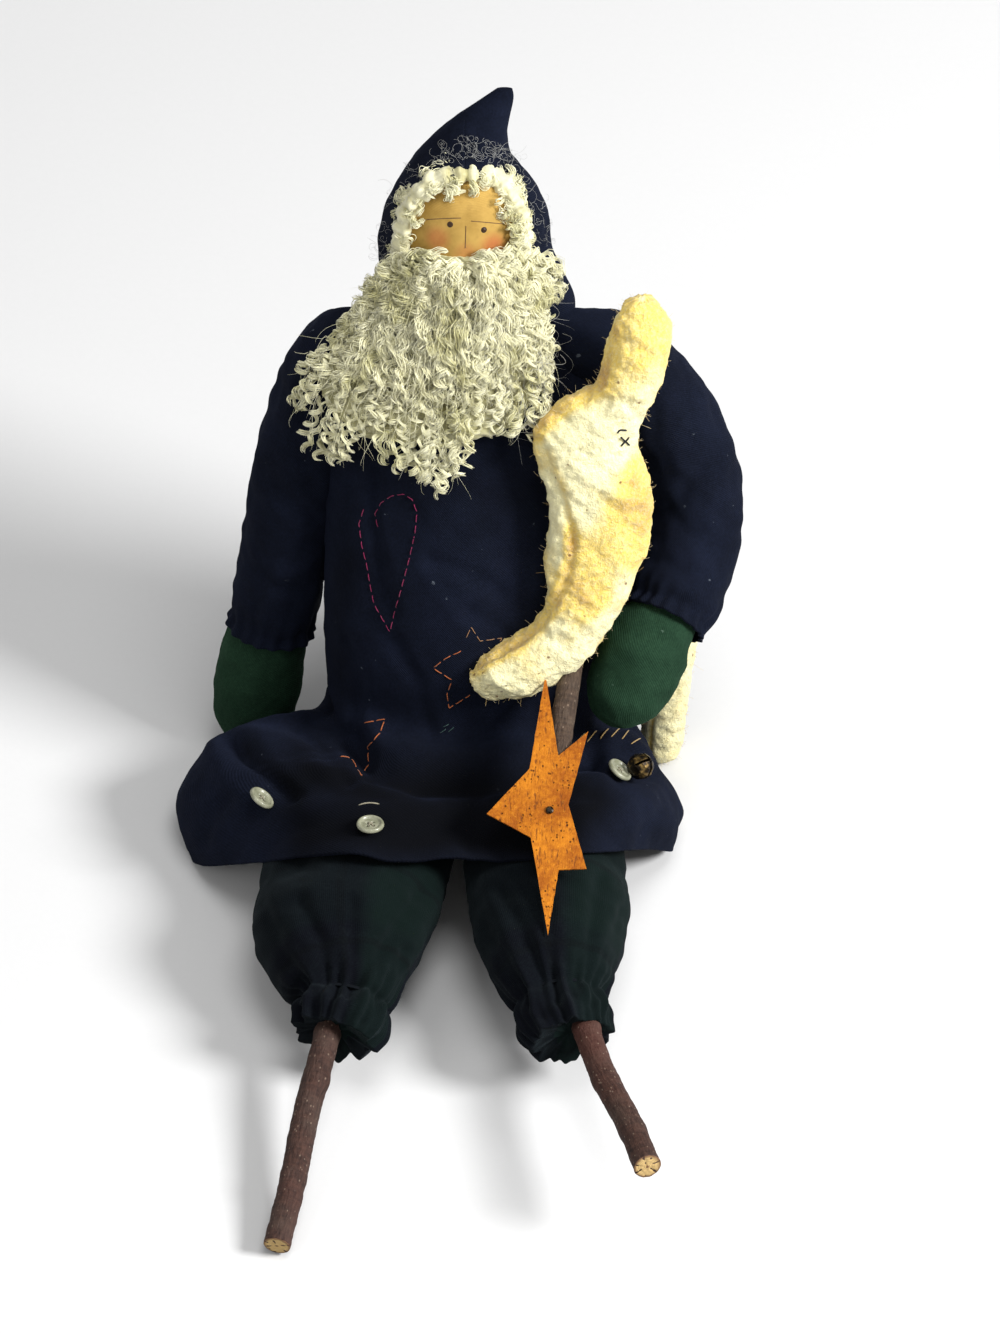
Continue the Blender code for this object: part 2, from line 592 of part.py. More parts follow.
def make_star():
    """The tin star, the twig that it is nailed to, and the nail."""
    across, up_slope, out = star_frame()
    form = bmesh.new()
    layers = []
    for level in (-0.5, 0.5):
        layers.append([form.verts.new((NAIL_PLACE + across * x + up_slope * w
                                       + out * level * STAR_THICKNESS) * MM) for x, w in STAR_OUTLINE])
    count = len(STAR_OUTLINE)
    form.faces.new(layers[1])
    form.faces.new(layers[0][::-1])
    for j in range(count):
        k = (j + 1) % count
        form.faces.new((layers[0][j], layers[0][k], layers[1][k], layers[1][j]))
    bmesh.ops.recalc_face_normals(form, faces=form.faces)
    mesh = bpy.data.meshes.new("rusty_star")
    form.to_mesh(mesh)
    form.free()
    star = add_object("rusty_star", mesh, RUST, PARTS)
    mesh.shade_flat()

    under = STAR_THICKNESS / 2 + GAP + STICK_RADIUS
    foot = NAIL_PLACE - out * under - up_slope * 6.5 - across * 0.6
    lean = (up_slope + across * 0.13).normalized()
    path = [(*(foot + lean * STICK_LENGTH * t + across * sway), STICK_RADIUS * girth, STICK_RADIUS * girth)
            for t, girth, sway in ((0.0, 0.95, 0.0), (0.3, 1.0, 0.5), (0.6, 0.96, -0.4), (1.0, 0.9, 0.0))]
    stick = tube("star_stick", path, BARK, around=AROUND_SMALL)

    nail_rows = ((-NAIL_LENGTH, NAIL_RADIUS * 0.5), (1 - NAIL_LENGTH, NAIL_RADIUS), (0.0, NAIL_RADIUS),
                 (0.0, NAIL_HEAD_RADIUS), (0.5, NAIL_HEAD_RADIUS), (0.9, NAIL_HEAD_RADIUS * 0.6))
    seat = NAIL_PLACE + out * (STAR_THICKNESS / 2 + GAP)

    def turned(rows, grow):
        return [[seat + out * level + (across * math.cos(turn) + up_slope * math.sin(turn)) * (radius + grow)
                 for turn in (2 * math.pi * j / AROUND_SMALL for j in range(AROUND_SMALL))]
                for level, radius in rows]

    nail = loft("star_nail", turned(nail_rows, 0.0), DARK_METAL)
    bore = loft("nail_bore", turned(((-NAIL_LENGTH - GAP, NAIL_RADIUS), (GAP + 2, NAIL_RADIUS)), GAP * 0.5),
                RUST, CUTTERS)
    cut(star, bore)
    cut(stick, bore)
    return star, stick, nail


def seat_on(robe, across, rise, reach):
    """Where a line of sight from in front and 45 degrees above meets the robe, the cloth's normal there,
    and how far the cloth rises above that point within a piece's reach."""
    form = bmesh.new()
    form.from_mesh(evaluated_mesh(robe))
    tree = BVHTree.FromBMesh(form)
    form.free()
    sight = Vector((0, 1, -1)).normalized()
    place, normal, _, _ = tree.ray_cast(Vector((across, rise / 2, rise / 2)) * MM - sight, sight)
    side = normal.orthogonal().normalized()
    other = normal.cross(side)
    rise_above = 0.0
    for j in range(12):
        turn = math.pi / 6 * j
        rim = place + (side * math.cos(turn) + other * math.sin(turn)) * reach * MM
        touch, _, _, _ = tree.ray_cast(rim + normal * 10 * MM, -normal, 20 * MM)
        if touch:
            rise_above = max(rise_above, (touch - place).dot(normal) / MM)
    return place / MM, normal, rise_above


def turned_solid(name, profile, axis, seat, material, around=AROUND_LIMB, group=None):
    """A solid of revolution: heights and radii along an axis that starts at its seat."""
    side = axis.orthogonal().normalized()
    other = axis.cross(side)
    rings = [[seat + axis * level + (side * math.cos(turn) + other * math.sin(turn)) * radius
              for turn in (2 * math.pi * j / around for j in range(around))] for level, radius in profile]
    return loft(name, rings, material, group)


def make_button(name, robe, across, rise):
    """A sew-through button with four holes, seated on the skirt."""
    thick, radius = BUTTON_THICKNESS, BUTTON_RADIUS
    place, normal, rise_above = seat_on(robe, across, rise, radius)
    lift = rise_above + GAP
    profile = ((0.0, radius * 0.72), (thick * 0.3, radius * 0.95), (thick * 0.62, radius),
               (thick, radius * 0.9), (thick * 0.96, radius * 0.78), (thick * 0.62, radius * 0.62))
    seat = place + normal * lift
    button = turned_solid(name, profile, normal, seat, CREAM)
    side = normal.orthogonal().normalized()
    other = normal.cross(side)
    for j in range(4):
        turn = math.pi / 4 + math.pi / 2 * j
        centre = seat + (side * math.cos(turn) + other * math.sin(turn)) * BUTTON_HOLE_SPREAD
        bore = ((-2.0, BUTTON_HOLE_RADIUS), (thick + 2, BUTTON_HOLE_RADIUS))
        hole = turned_solid(name + "_hole_" + str(j), bore, normal, centre, CREAM, 6, CUTTERS)
        cut(button, hole)
    return button


def make_bell(robe, across, rise):
    """A jingle bell with a slot across its mouth and a loose pellet inside."""
    place, normal, _ = seat_on(robe, across, rise, BELL_RADIUS / 2)
    centre = place + normal * (BELL_RADIUS + GAP + 0.2)

    def ball(name, radius, material, group=None, middle=centre):
        rows = [(radius * math.sin(math.radians(angle)), radius * math.cos(math.radians(angle)))
                for angle in (-75, -45, -15, 15, 45, 75)]
        return turned_solid(name, rows, normal, middle, material, AROUND_SMALL, group)

    shell = ball("bell_shell", BELL_RADIUS, DARK_METAL)
    cut(shell, ball("bell_hollow", BELL_RADIUS - BELL_WALL, DARK_METAL, CUTTERS))
    side = normal.orthogonal().normalized()
    other = normal.cross(side)
    reach = BELL_RADIUS + 1
    for name, wide, deep in (("bell_slot_a", side, other), ("bell_slot_b", other, side)):
        rings = []
        for level in (0.15 * BELL_RADIUS, reach):
            rings.append([centre + normal * level + wide * reach * a + deep * BELL_SLOT / 2 * b
                          for a, b in ((-1, -1), (1, -1), (1, 1), (-1, 1))])
        cut(shell, loft(name, rings, DARK_METAL, CUTTERS))
    rest = centre - Vector((0, 0, BELL_RADIUS - BELL_WALL - PELLET_RADIUS - 0.6))
    pellet = ball("bell_pellet", PELLET_RADIUS, DARK_METAL, middle=rest)
    return shell, pellet


def build():
    robe = make_robe()
    seat, body = make_stuffing()
    left_leg, left_twig, left_tie = make_leg("left", LEFT_LEG, LEFT_ANKLE, LEFT_RUFFLE, LEFT_TWIG)
    right_leg, right_twig, right_tie = make_leg("right", RIGHT_LEG, RIGHT_ANKLE, RIGHT_RUFFLE, RIGHT_TWIG)
    left_sleeve, left_arm, left_mitten = make_arm("left", LEFT_SLEEVE, LEFT_MITTEN)
    right_sleeve, right_arm, right_mitten = make_arm("right", RIGHT_SLEEVE, RIGHT_MITTEN)
    head = make_head()
    hood = make_hood()
    fringe = make_fringe()
    beard = make_beard()
    moon = make_moon()
    roll = tube("toy_roll", ROLL_STATIONS, BATTING)
    star, stick, nail = make_star()

    torso_form = loft("torso_form", [torso_ring(row, 0.8) for row in torso_rows()], NAVY, CUTTERS)
    torso_room = swollen(torso_form)
    skirt_room = swollen(robe, 0.65, "robe_room")
    left_room, right_room = (swollen(tube(side + "_sleeve_form", sleeve_stations(rows), NAVY, group=CUTTERS))
                             for side, rows in (("left", LEFT_SLEEVE), ("right", RIGHT_SLEEVE)))
    seat_room, head_room, stick_room, star_room = (swollen(piece) for piece in (seat, head, stick, star))
    mitten_room = swollen(right_mitten)

    cut(left_leg, seat_room, skirt_room)
    cut(right_leg, seat_room, skirt_room)
    for piece in (left_sleeve, right_sleeve, left_arm, right_arm):
        cut(piece, torso_room, solver="MANIFOLD")
    cut(left_mitten, torso_room, skirt_room)
    cut(right_mitten, torso_room, stick_room)
    cut(hood, head_room, torso_room)
    hood_room = swollen(hood)
    cut(fringe, head_room, hood_room)
    fringe_room = swollen(fringe)
    cut(moon, torso_room, right_room, mitten_room, stick_room, star_room)
    moon_room = swollen(moon)
    cut(beard, torso_room, head_room, hood_room, fringe_room, left_room, right_room, moon_room,
        solver="MANIFOLD")
    cut(roll, skirt_room, right_room, mitten_room)

    make_button("button_left", robe, -91.5, -9.5)
    make_button("button_middle", robe, -43.5, -27.5)
    make_button("button_right", robe, 69.5, 8.0)
    make_bell(robe, 77.0, 9.5)


build()
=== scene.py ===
# Looks of a cloth figure that sits on the floor in a hooded robe, with a stuffed moon under
# its arm, a tin star on a twig, and twigs for lower legs.
# Forms are worked out in millimetres. +Z is up, the figure faces -Y, and left and right are the viewer's.

import math

import bpy
import numpy as np
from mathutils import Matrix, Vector
from mathutils.bvhtree import BVHTree


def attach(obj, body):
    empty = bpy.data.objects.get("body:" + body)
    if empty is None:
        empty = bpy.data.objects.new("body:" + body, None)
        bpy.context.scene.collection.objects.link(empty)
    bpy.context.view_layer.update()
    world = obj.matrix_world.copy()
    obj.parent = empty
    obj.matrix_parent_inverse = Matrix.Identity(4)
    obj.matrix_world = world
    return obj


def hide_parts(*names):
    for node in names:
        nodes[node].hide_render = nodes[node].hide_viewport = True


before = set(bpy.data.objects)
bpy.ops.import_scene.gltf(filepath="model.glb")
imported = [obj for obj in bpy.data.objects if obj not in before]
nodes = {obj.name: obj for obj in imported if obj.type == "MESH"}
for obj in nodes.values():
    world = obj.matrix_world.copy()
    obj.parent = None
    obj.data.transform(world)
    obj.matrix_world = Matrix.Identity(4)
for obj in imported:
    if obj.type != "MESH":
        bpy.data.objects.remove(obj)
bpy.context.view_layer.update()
mm = 0.001


# The camera stands as far off as the long lens of the photograph. Places here are in metres.
cameraPlace = {
    "target": (0.0161, 0.0, 0.0803), "elevation": 45.0, "distance": 6.0, "lens": 346.4, "sensor": 36.0,
    "farthest": 30.0,
}
pictureSize = {"wide": 1000.0, "high": 1333.0}
pixelShare = cameraPlace["sensor"] / pictureSize["high"] / cameraPlace["lens"]

tilt = math.radians(cameraPlace["elevation"])
sightRight = np.array([1.0, 0.0, 0.0])
sightUp = np.array([0.0, math.sin(tilt), math.cos(tilt)])
sightAhead = np.array([0.0, math.cos(tilt), -math.sin(tilt)])
cameraPoint = np.array(cameraPlace["target"]) - sightAhead * cameraPlace["distance"]


def addCamera():
    lens = bpy.data.cameras.new("camera")
    lens.lens = cameraPlace["lens"]
    lens.sensor_width = cameraPlace["sensor"]
    lens.clip_end = cameraPlace["farthest"]
    eye = bpy.data.objects.new("camera", lens)
    eye.location = Vector(cameraPoint)
    eye.rotation_euler = (math.pi / 2 - tilt, 0.0, 0.0)
    bpy.context.scene.collection.objects.link(eye)
    bpy.context.scene.camera = eye


# Where points in millimetres fall in the picture: sideways and upward shares of their depth, times the lens.
def inPicture(points):
    away = points * mm - cameraPoint
    reach = cameraPlace["lens"] / (away @ sightAhead) * pictureSize["high"] / cameraPlace["sensor"]
    return np.stack([pictureSize["wide"] / 2 + (away @ sightRight) * reach,
                     pictureSize["high"] / 2 - (away @ sightUp) * reach], -1)


# The line of sight through a place in the picture.
def sightLine(spot):
    way = (sightAhead + sightRight * (spot[0] - pictureSize["wide"] / 2) * pixelShare
           - sightUp * (spot[1] - pictureSize["high"] / 2) * pixelShare)
    return Vector(way).normalized()


lean = math.radians(15.0)


# A point of the torso's frame, which leans back: height and forward turned by the lean.
def leaned(across, forward, up):
    across, forward, up = np.broadcast_arrays(across, forward, up)
    return np.stack([across, up * math.sin(lean) - forward * math.cos(lean),
                     up * math.cos(lean) + forward * math.sin(lean)], -1)


# Across and up in the torso's frame, where sight through places in the picture meets a plane at some
# forward distance: the share of the sight line at which its forward part equals that distance.
def onPlane(spots, forward):
    ways = (sightAhead + sightRight * ((spots[..., :1] - pictureSize["wide"] / 2) * pixelShare)
            - sightUp * ((spots[..., 1:] - pictureSize["high"] / 2) * pixelShare))
    start = cameraPoint / mm
    ahead = np.array([0.0, -math.cos(lean), math.sin(lean)])
    far = (forward - start @ ahead) / (ways @ ahead)
    met = start + ways * far[..., None]
    return met[..., 0], met[..., 1] * math.sin(lean) + met[..., 2] * math.cos(lean)


# Part of the way from b to c on a cubic whose slope at each is half the step between its two neighbours.
def cubic(a, b, c, d, part):
    return 0.5 * (2 * b + (c - a) * part + (2 * a - 5 * b + 4 * c - d) * part ** 2
                  + (3 * b - a - 3 * c + d) * part ** 3)


# Rows of numbers at places between them, by the cubic through four neighbours.
def between(rows, place, closed=False):
    rows = np.asarray(rows, float)
    place = np.asarray(place, float)
    count = len(rows)
    first = np.floor(place).astype(int)
    if not closed:
        first = np.clip(first, 0, count - 2)
    part = (place - first).reshape(place.shape + (1,) * (rows.ndim - 1))
    near = ((first + k) % count if closed else np.clip(first + k, 0, count - 1) for k in (-1, 0, 1, 2))
    return cubic(*(rows[k] for k in near), part)


# A smooth bumpy field from -1 to 1: a sum of waves of about one length, in directions drawn from the seed.
def lumps(points, size, seed):
    waves = 16
    draw = np.random.default_rng(seed)
    ways = draw.normal(size=(waves, 3))
    ways *= ((2 * math.pi / size) * draw.uniform(0.6, 1.5, (waves, 1))
             / np.linalg.norm(ways, axis=1, keepdims=True))
    return np.sin(points @ ways.T + draw.uniform(0, 2 * math.pi, waves)).sum(-1) / math.sqrt(waves) / 1.4


# Lumps of several kinds together: each kind's height, size, seed and stretch.
def bumps(points, kinds):
    return sum(height * lumps(points * stretch, size, seed) for height, size, seed, stretch in kinds)


# How near each point of the picture lies to a line there: 1 on it, falling off as a bell curve.
def nearLine(spots, line, width):
    line = np.asarray(line, float)
    best = np.full(spots.shape[:-1], 1e9)
    for start, end in zip(line[:-1], line[1:]):
        step = end - start
        share = np.clip(((spots - start) @ step) / (step @ step), 0, 1)
        best = np.minimum(best, np.linalg.norm(spots - start - share[..., None] * step, axis=-1))
    return np.exp(-(best / width) ** 2)


# Normals of a grid that closes round: the cross product of its steps around and its steps along.
def gridNormals(points):
    around = (np.roll(points, -1, 1) - np.roll(points, 1, 1)) / 2
    normal = np.cross(around, np.gradient(points, axis=0))
    return normal / np.maximum(np.linalg.norm(normal, axis=-1, keepdims=True), 1e-9)


# The same, turned outward where they point towards the middle.
def outwardNormals(points, middle):
    normal = gridNormals(points)
    return normal * np.sign((normal * (points - middle)).sum(-1, keepdims=True))


# Directions straight out from a middle line or point.
def outFrom(points, middle):
    return (points - middle) / np.maximum(np.linalg.norm(points - middle, axis=-1, keepdims=True), 1e-6)


def smoothStep(value, low, high):
    share = np.clip((value - low) / (high - low), 0, 1)
    return share * share * (3 - 2 * share)


# How far a surface faces the camera, from 0 at its back to 1.
def facingSight(normal, full=0.4):
    return smoothStep(-(normal @ sightAhead), -0.1, full)


# Angles at even steps round a circle.
def evenTurns(count):
    turns = np.arange(count)
    return 2 * math.pi * turns / count


# Rings square to a path: the side is the guide less its share along the path, the top is square to both.
def pathRings(centres, wide, deep, turns, guide=(1.0, 0.0, 0.0)):
    along = np.gradient(centres, axis=0)
    along /= np.linalg.norm(along, axis=1, keepdims=True)
    guide = np.asarray(guide)
    side = guide - along * (along @ guide)[:, None]
    side /= np.linalg.norm(side, axis=1, keepdims=True)
    top = np.cross(along, side)
    return (centres[:, None] + side[:, None] * (wide[:, None] * np.cos(turns))[..., None]
            + top[:, None] * (deep[:, None] * np.sin(turns))[..., None])


def addMesh(name, points, faces, finish, smooth=True):
    mesh = bpy.data.meshes.new(name)
    mesh.from_pydata(points * mm, [], faces)
    mesh.materials.append(finish)
    mesh.polygons.foreach_set("use_smooth", np.full(len(mesh.polygons), smooth))
    mesh.update()
    piece = bpy.data.objects.new(name, mesh)
    bpy.context.scene.collection.objects.link(piece)
    return piece


# The map of a mesh's first corners, in metres. Corners after them, which close its ends, stay at 0.
def mapCloth(piece, u, v):
    flat = np.zeros((len(piece.data.loops), 2))
    flat[:u.size, 0], flat[:v.size, 1] = u.ravel(), v.ravel()
    piece.data.uv_layers.new(name="cloth").data.foreach_set("uv", flat.ravel())


# A number for each point of a piece's grid, for its finish to read. Points that close its ends get 0.
def paint(piece, name, values):
    shade = np.zeros(len(piece.data.vertices))
    shade[:values.size] = values.ravel()
    piece.data.attributes.new(name, "FLOAT", "POINT").data.foreach_set("value", shade)


# A finished piece rides with the figure and stands for its CAD node, if it has one, which is hidden.
def handOver(piece, node=None):
    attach(piece, "root")
    if node:
        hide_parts(node)
    return piece


# A skin over a grid of points. Each square joins a point to its neighbours along and around, a fan round
# a middle point closes an end, and all faces turn over where the volume they hold comes out negative.
# The map gives the distance around and along in metres.
def skin(name, grid, finish, closed=True, ends=(True, True)):
    rows, cols = grid.shape[:2]
    points = grid.reshape(-1, 3)
    i = np.arange(rows - 1)[:, None]
    j = np.arange(cols if closed else cols - 1)[None, :]
    k = (j + 1) % cols
    onward = (i + 1) * cols
    corners = np.stack(np.broadcast_arrays(i * cols + j, i * cols + k, onward + k, onward + j), -1)
    faces = corners.reshape(-1, 4)
    fans = []
    for row, wanted in zip((0, rows - 1), ends):
        if wanted:
            ring = np.arange(cols) + row * cols
            middle = len(points)
            points = np.vstack([points, grid[row].mean(0)])
            after = np.roll(ring, -1)
            pair = (after, ring) if row == 0 else (ring, after)
            fans.append(np.stack([*pair, np.full(cols, middle)], -1))
    a, b, c, d = (points[faces[:, n]] for n in range(4))
    held = (np.cross(a, b) * c).sum() + (np.cross(a, c) * d).sum()
    turned = held < 0
    if turned:
        faces = faces[:, ::-1]
        fans = [fan[:, ::-1] for fan in fans]
    piece = addMesh(name, points, sum((fan.tolist() for fan in fans), faces.tolist()), finish)
    around = np.linalg.norm(np.roll(grid, -1, 1) - grid, axis=-1).mean(0)
    along = np.linalg.norm(np.diff(grid, axis=0), axis=-1).mean(1)
    u = np.concatenate([[0], np.cumsum(around)]) * mm
    v = np.concatenate([[0], np.cumsum(along)]) * mm
    us = np.stack(np.broadcast_arrays(u[j], u[j + 1], u[j + 1], u[j]), -1)
    vs = np.stack(np.broadcast_arrays(v[i], v[i], v[i + 1], v[i + 1]), -1)
    us, vs = (np.broadcast_to(x, corners.shape).reshape(-1, 4) for x in (us, vs))
    if turned:
        us, vs = us[:, ::-1], vs[:, ::-1]
    mapCloth(piece, us, vs)
    return piece


# Many thin tubes in one mesh. Paths are strand by point by axis, and each tube is a ring of a few points
# square to its path, with a radius for each point of the path.
def strands(name, paths, radii, finish, sides):
    count, steps = paths.shape[:2]
    along = np.gradient(paths, axis=1)
    along /= np.maximum(np.linalg.norm(along, axis=-1, keepdims=True), 1e-9)
    guide = np.array([0.31, 0.52, 0.79])
    side = np.cross(along, guide)
    side /= np.maximum(np.linalg.norm(side, axis=-1, keepdims=True), 1e-9)
    top = np.cross(along, side)
    turns = evenTurns(sides)
    ring = (side[:, :, None] * np.cos(turns)[:, None] + top[:, :, None] * np.sin(turns)[:, None])
    points = paths[:, :, None] + ring * radii[:, :, None, None]
    base = (np.arange(count)[:, None, None] * steps + np.arange(steps - 1)[None, :, None]) * sides
    j = np.arange(sides)[None, None, :]
    k = (j + 1) % sides
    onward = base + sides
    faces = np.stack(np.broadcast_arrays(base + j, base + k, onward + k, onward + j), -1).reshape(-1, 4)
    starts = (np.arange(count)[:, None] * steps * sides + np.arange(sides)[::-1]).tolist()
    tips = ((np.arange(count)[:, None] * steps + steps - 1) * sides + np.arange(sides)).tolist()
    piece = addMesh(name, points.reshape(-1, 3), faces.tolist() + starts + tips, finish)
    lengths = np.cumsum(np.linalg.norm(np.diff(paths, axis=1, prepend=paths[:, :1]), axis=-1), axis=1)
    corner = np.array([[0, 0], [0, 1], [1, 1], [1, 0]])
    full = (count, steps - 1, sides, 4)
    where = np.arange(count)[:, None] * steps + np.arange(steps - 1)
    v = lengths.ravel()[np.broadcast_to(where[..., None, None] + corner[:, 0], full).ravel()]
    u = np.broadcast_to((np.arange(sides)[:, None] + corner[:, 1]) / sides, full).ravel()
    ownShift = 0.37
    mapCloth(piece, u + np.repeat(np.arange(count) * ownShift, v.size // count), v * mm)
    return piece


def thicken(piece, wall):
    cloth = piece.modifiers.new("wall", "SOLIDIFY")
    cloth.thickness = wall * mm
    cloth.offset = -1.0
    return piece


class Wire:
    # A socket that does arithmetic: an expression on wires adds the Math nodes that work it out.
    def __init__(self, tree, socket=None):
        self.tree = tree
        self.socket = socket

    # Adds any node: its type, its settings, then the values or links of its sockets.
    def add(self, kind, settings=None, sockets=None, outlet=0):
        made = self.tree.nodes.new("ShaderNode" + kind)
        for key, value in (settings or {}).items():
            setattr(made, key, value)
        for key, value in (sockets or {}).items():
            if isinstance(value, Wire):
                self.tree.links.new(value.socket, made.inputs[key])
            else:
                made.inputs[key].default_value = value
        return Wire(self.tree, made.outputs[outlet])

    def sum(self, operation, first, second=0.0):
        return self.add("Math", {"operation": operation}, {0: first, 1: second})

    def __add__(self, other):
        return self.sum("ADD", self, other)

    __radd__ = __add__

    def __sub__(self, other):
        return self.sum("SUBTRACT", self, other)

    def __rsub__(self, other):
        return self.sum("SUBTRACT", other, self)

    def __mul__(self, other):
        return self.sum("MULTIPLY", self, other)

    __rmul__ = __mul__

    def __truediv__(self, other):
        return self.sum("DIVIDE", self, other)

    # From 0 to 1 as the value goes from low to high.
    def fade(self, low, high):
        return self.add("MapRange", {"interpolation_type": "SMOOTHSTEP"},
                        {0: self, 1: low, 2: high, 3: 0.0, 4: 1.0})

    # Between two colours by this share.
    def blend(self, first, second):
        ends = {6: first if isinstance(first, Wire) else (*first, 1.0),
                7: second if isinstance(second, Wire) else (*second, 1.0)}
        return self.add("Mix", {"data_type": "RGBA"}, {0: self, **ends}, 2)


# A new finish: its wire to add nodes with, places in metres, and the surface that they feed.
def startFinish(name):
    finish = bpy.data.materials.new(name)
    finish.use_nodes = True
    tree = finish.node_tree
    wire = Wire(tree)
    place = wire.add("TexCoord", outlet=3)
    shader = tree.nodes["Principled BSDF"]
    return finish, wire, place, shader


def noise(wire, place, scale, detail=3.0, rough=0.55):
    return wire.add("TexNoise", {}, {"Vector": place, "Scale": scale, "Detail": detail, "Roughness": rough})


def weave(wire, place, scale, direction, bend):
    return wire.add("TexWave", {"bands_direction": direction},
                    {"Vector": place, "Scale": scale, "Distortion": bend}, 1)


# How far places are from one place, which is given in millimetres.
def gapTo(wire, place, middle):
    return wire.add("VectorMath", {"operation": "DISTANCE"}, {0: place, 1: tuple(c * mm for c in middle)}, 1)


def stretched(wire, place, size, turn=(0.0, 0.0, 0.0)):
    return wire.add("Mapping", {}, {"Vector": place, "Scale": size, "Rotation": turn})


# Joins what varies to the surface, and sets what doesn't on the surface's own sockets.
def endFinish(wire, shader, colour, rough, height, relief, fixed=None):
    links = wire.tree.links
    links.new(colour.socket, shader.inputs["Base Color"])
    if isinstance(rough, Wire):
        links.new(rough.socket, shader.inputs["Roughness"])
    else:
        shader.inputs["Roughness"].default_value = rough
    bump = wire.add("Bump", {}, {"Strength": relief[0], "Distance": relief[1], "Height": height})
    links.new(bump.socket, shader.inputs["Normal"])
    for key, value in (fixed or {}).items():
        shader.inputs[key].default_value = value


# Brushed woollen cloth: a fine twill in the map, felted fuzz over it, lighter fibres and a few lint specks.
# It also lays painted shade, a near-black tone, where a piece's attribute marks it.
def woolFinish(name, dark, light, fleck, seed):
    twill, paintedShade = 0.35, (0.0012, 0.0014, 0.0022)
    finish, wire, place, shader = startFinish(name)
    cloth = wire.add("TexCoord", outlet=2)
    shifted = wire.add("VectorMath", {"operation": "ADD"}, {0: place, 1: (seed, seed * 0.7, 0.0)})
    blotch = noise(wire, shifted, 38.0, 4.0)
    fuzz = noise(wire, shifted, 900.0, 3.0, 0.7)
    fibre = noise(wire, stretched(wire, shifted, (1.0, 1.0, 4.0), (0.4, 0.3, 0.2)), 420.0, 2.0)
    ridge = wire.add("TexWave", {"wave_type": "BANDS", "bands_direction": "DIAGONAL"},
                     {"Vector": cloth, "Scale": 520.0, "Distortion": 1.5, "Detail": 1.0}, 1)
    shade = blotch * 0.55 + fuzz * 0.5 + ridge * twill * 0.3
    tone = shade.fade(0.35, 0.95).blend(dark, light)
    speck = noise(wire, shifted, 300.0, 0.0).fade(0.85, 0.87) * fibre.fade(0.45, 0.6) * 0.5
    tone = speck.blend(tone, fleck)
    # Painted shade: the tone goes towards near black where the piece's attribute marks it.
    tone = wire.add("Attribute", {"attribute_name": "paintedShade"}, outlet=2).blend(tone, paintedShade)
    height = fuzz * 0.6 + fibre * 0.35 + ridge * twill
    endFinish(wire, shader, tone, 0.95, height, (0.55, 0.0007),
              {"Sheen Weight": 0.10, "Sheen Roughness": 0.4, "Specular IOR Level": 0.08,
               "Sheen Tint": (*[min(1.0, v * 9) for v in light], 1.0)})
    return finish


# Plaid flannel: wide green and navy bands along and around, thin dark lines between, and a plain weave.
def plaidFinish(name):
    finish, wire, place, shader = startFinish(name)
    cloth = wire.add("TexCoord", outlet=2)
    parts = wire.add("SeparateXYZ", {}, {0: cloth})
    across, along = parts, Wire(wire.tree, parts.socket.node.outputs[1])
    wander = noise(wire, place, 60.0, 2.0)

    def bands(value, size, shift, low, high):
        return wire.sum("SINE", (value + shift) * (2 * math.pi / size) + wander * 0.5).fade(low, high)

    def lines(value, size, shift):
        return wire.sum("COSINE", (value + shift) * (2 * math.pi / size)).fade(0.95, 1.0)

    green = bands(across, 0.120, 0.010, 0.28, 0.72) * 0.75 + bands(along, 0.110, 0.030, -0.18, 0.18) * 0.25
    thin = lines(across, 0.050, 0.004) * 0.5 + lines(along, 0.050, 0.009) * 0.5
    warp, weft = (weave(wire, cloth, 420.0, direction, 0.6) for direction in "XY")
    fuzz = noise(wire, place, 900.0, 3.0, 0.7)
    tone = green.blend((0.0018, 0.0023, 0.0046), (0.0028, 0.0074, 0.0064))
    tone = (thin * 0.8).blend(tone, (0.0012, 0.0016, 0.0022))
    pale = (fuzz * 0.6 + noise(wire, place, 45.0) * 0.5).fade(0.45, 0.85)
    tone = (pale * 0.35).blend(tone, (0.010, 0.016, 0.018))
    endFinish(wire, shader, tone, 0.93, warp * 0.5 + weft * 0.5 + fuzz * 0.5, (0.5, 0.0006),
              {"Sheen Weight": 0.08, "Sheen Roughness": 0.4, "Sheen Tint": (0.3, 0.4, 0.45, 1.0),
               "Specular IOR Level": 0.08})
    return finish


# Tea-stained muslin: a plain weave, warm blotches, and rosy patches, each a place, a size and a strength.
def muslinFinish(name, patches=()):
    finish, wire, place, shader = startFinish(name)
    warp, weft = (weave(wire, place, 620.0, direction, 0.8) for direction in "XZ")
    blotch = noise(wire, place, 55.0, 4.0)
    tone = blotch.fade(0.3, 0.72).blend((0.33, 0.195, 0.040), (0.53, 0.335, 0.085))
    tone = (noise(wire, place, 300.0).fade(0.5, 0.8) * 0.3).blend(tone, (0.27, 0.145, 0.032))
    for middle, size, strength in patches:
        near = 1.0 - (gapTo(wire, place, middle) / (size * mm)).fade(0.15, 1.0)
        rosy = near * (noise(wire, place, 180.0) * 0.5 + 0.65) * strength
        tone = rosy.blend(tone, (0.46, 0.110, 0.040))
    endFinish(wire, shader, tone, 0.85, warp * 0.5 + weft * 0.5 + blotch * 0.6, (0.35, 0.0005),
              {"Specular IOR Level": 0.25})
    return finish


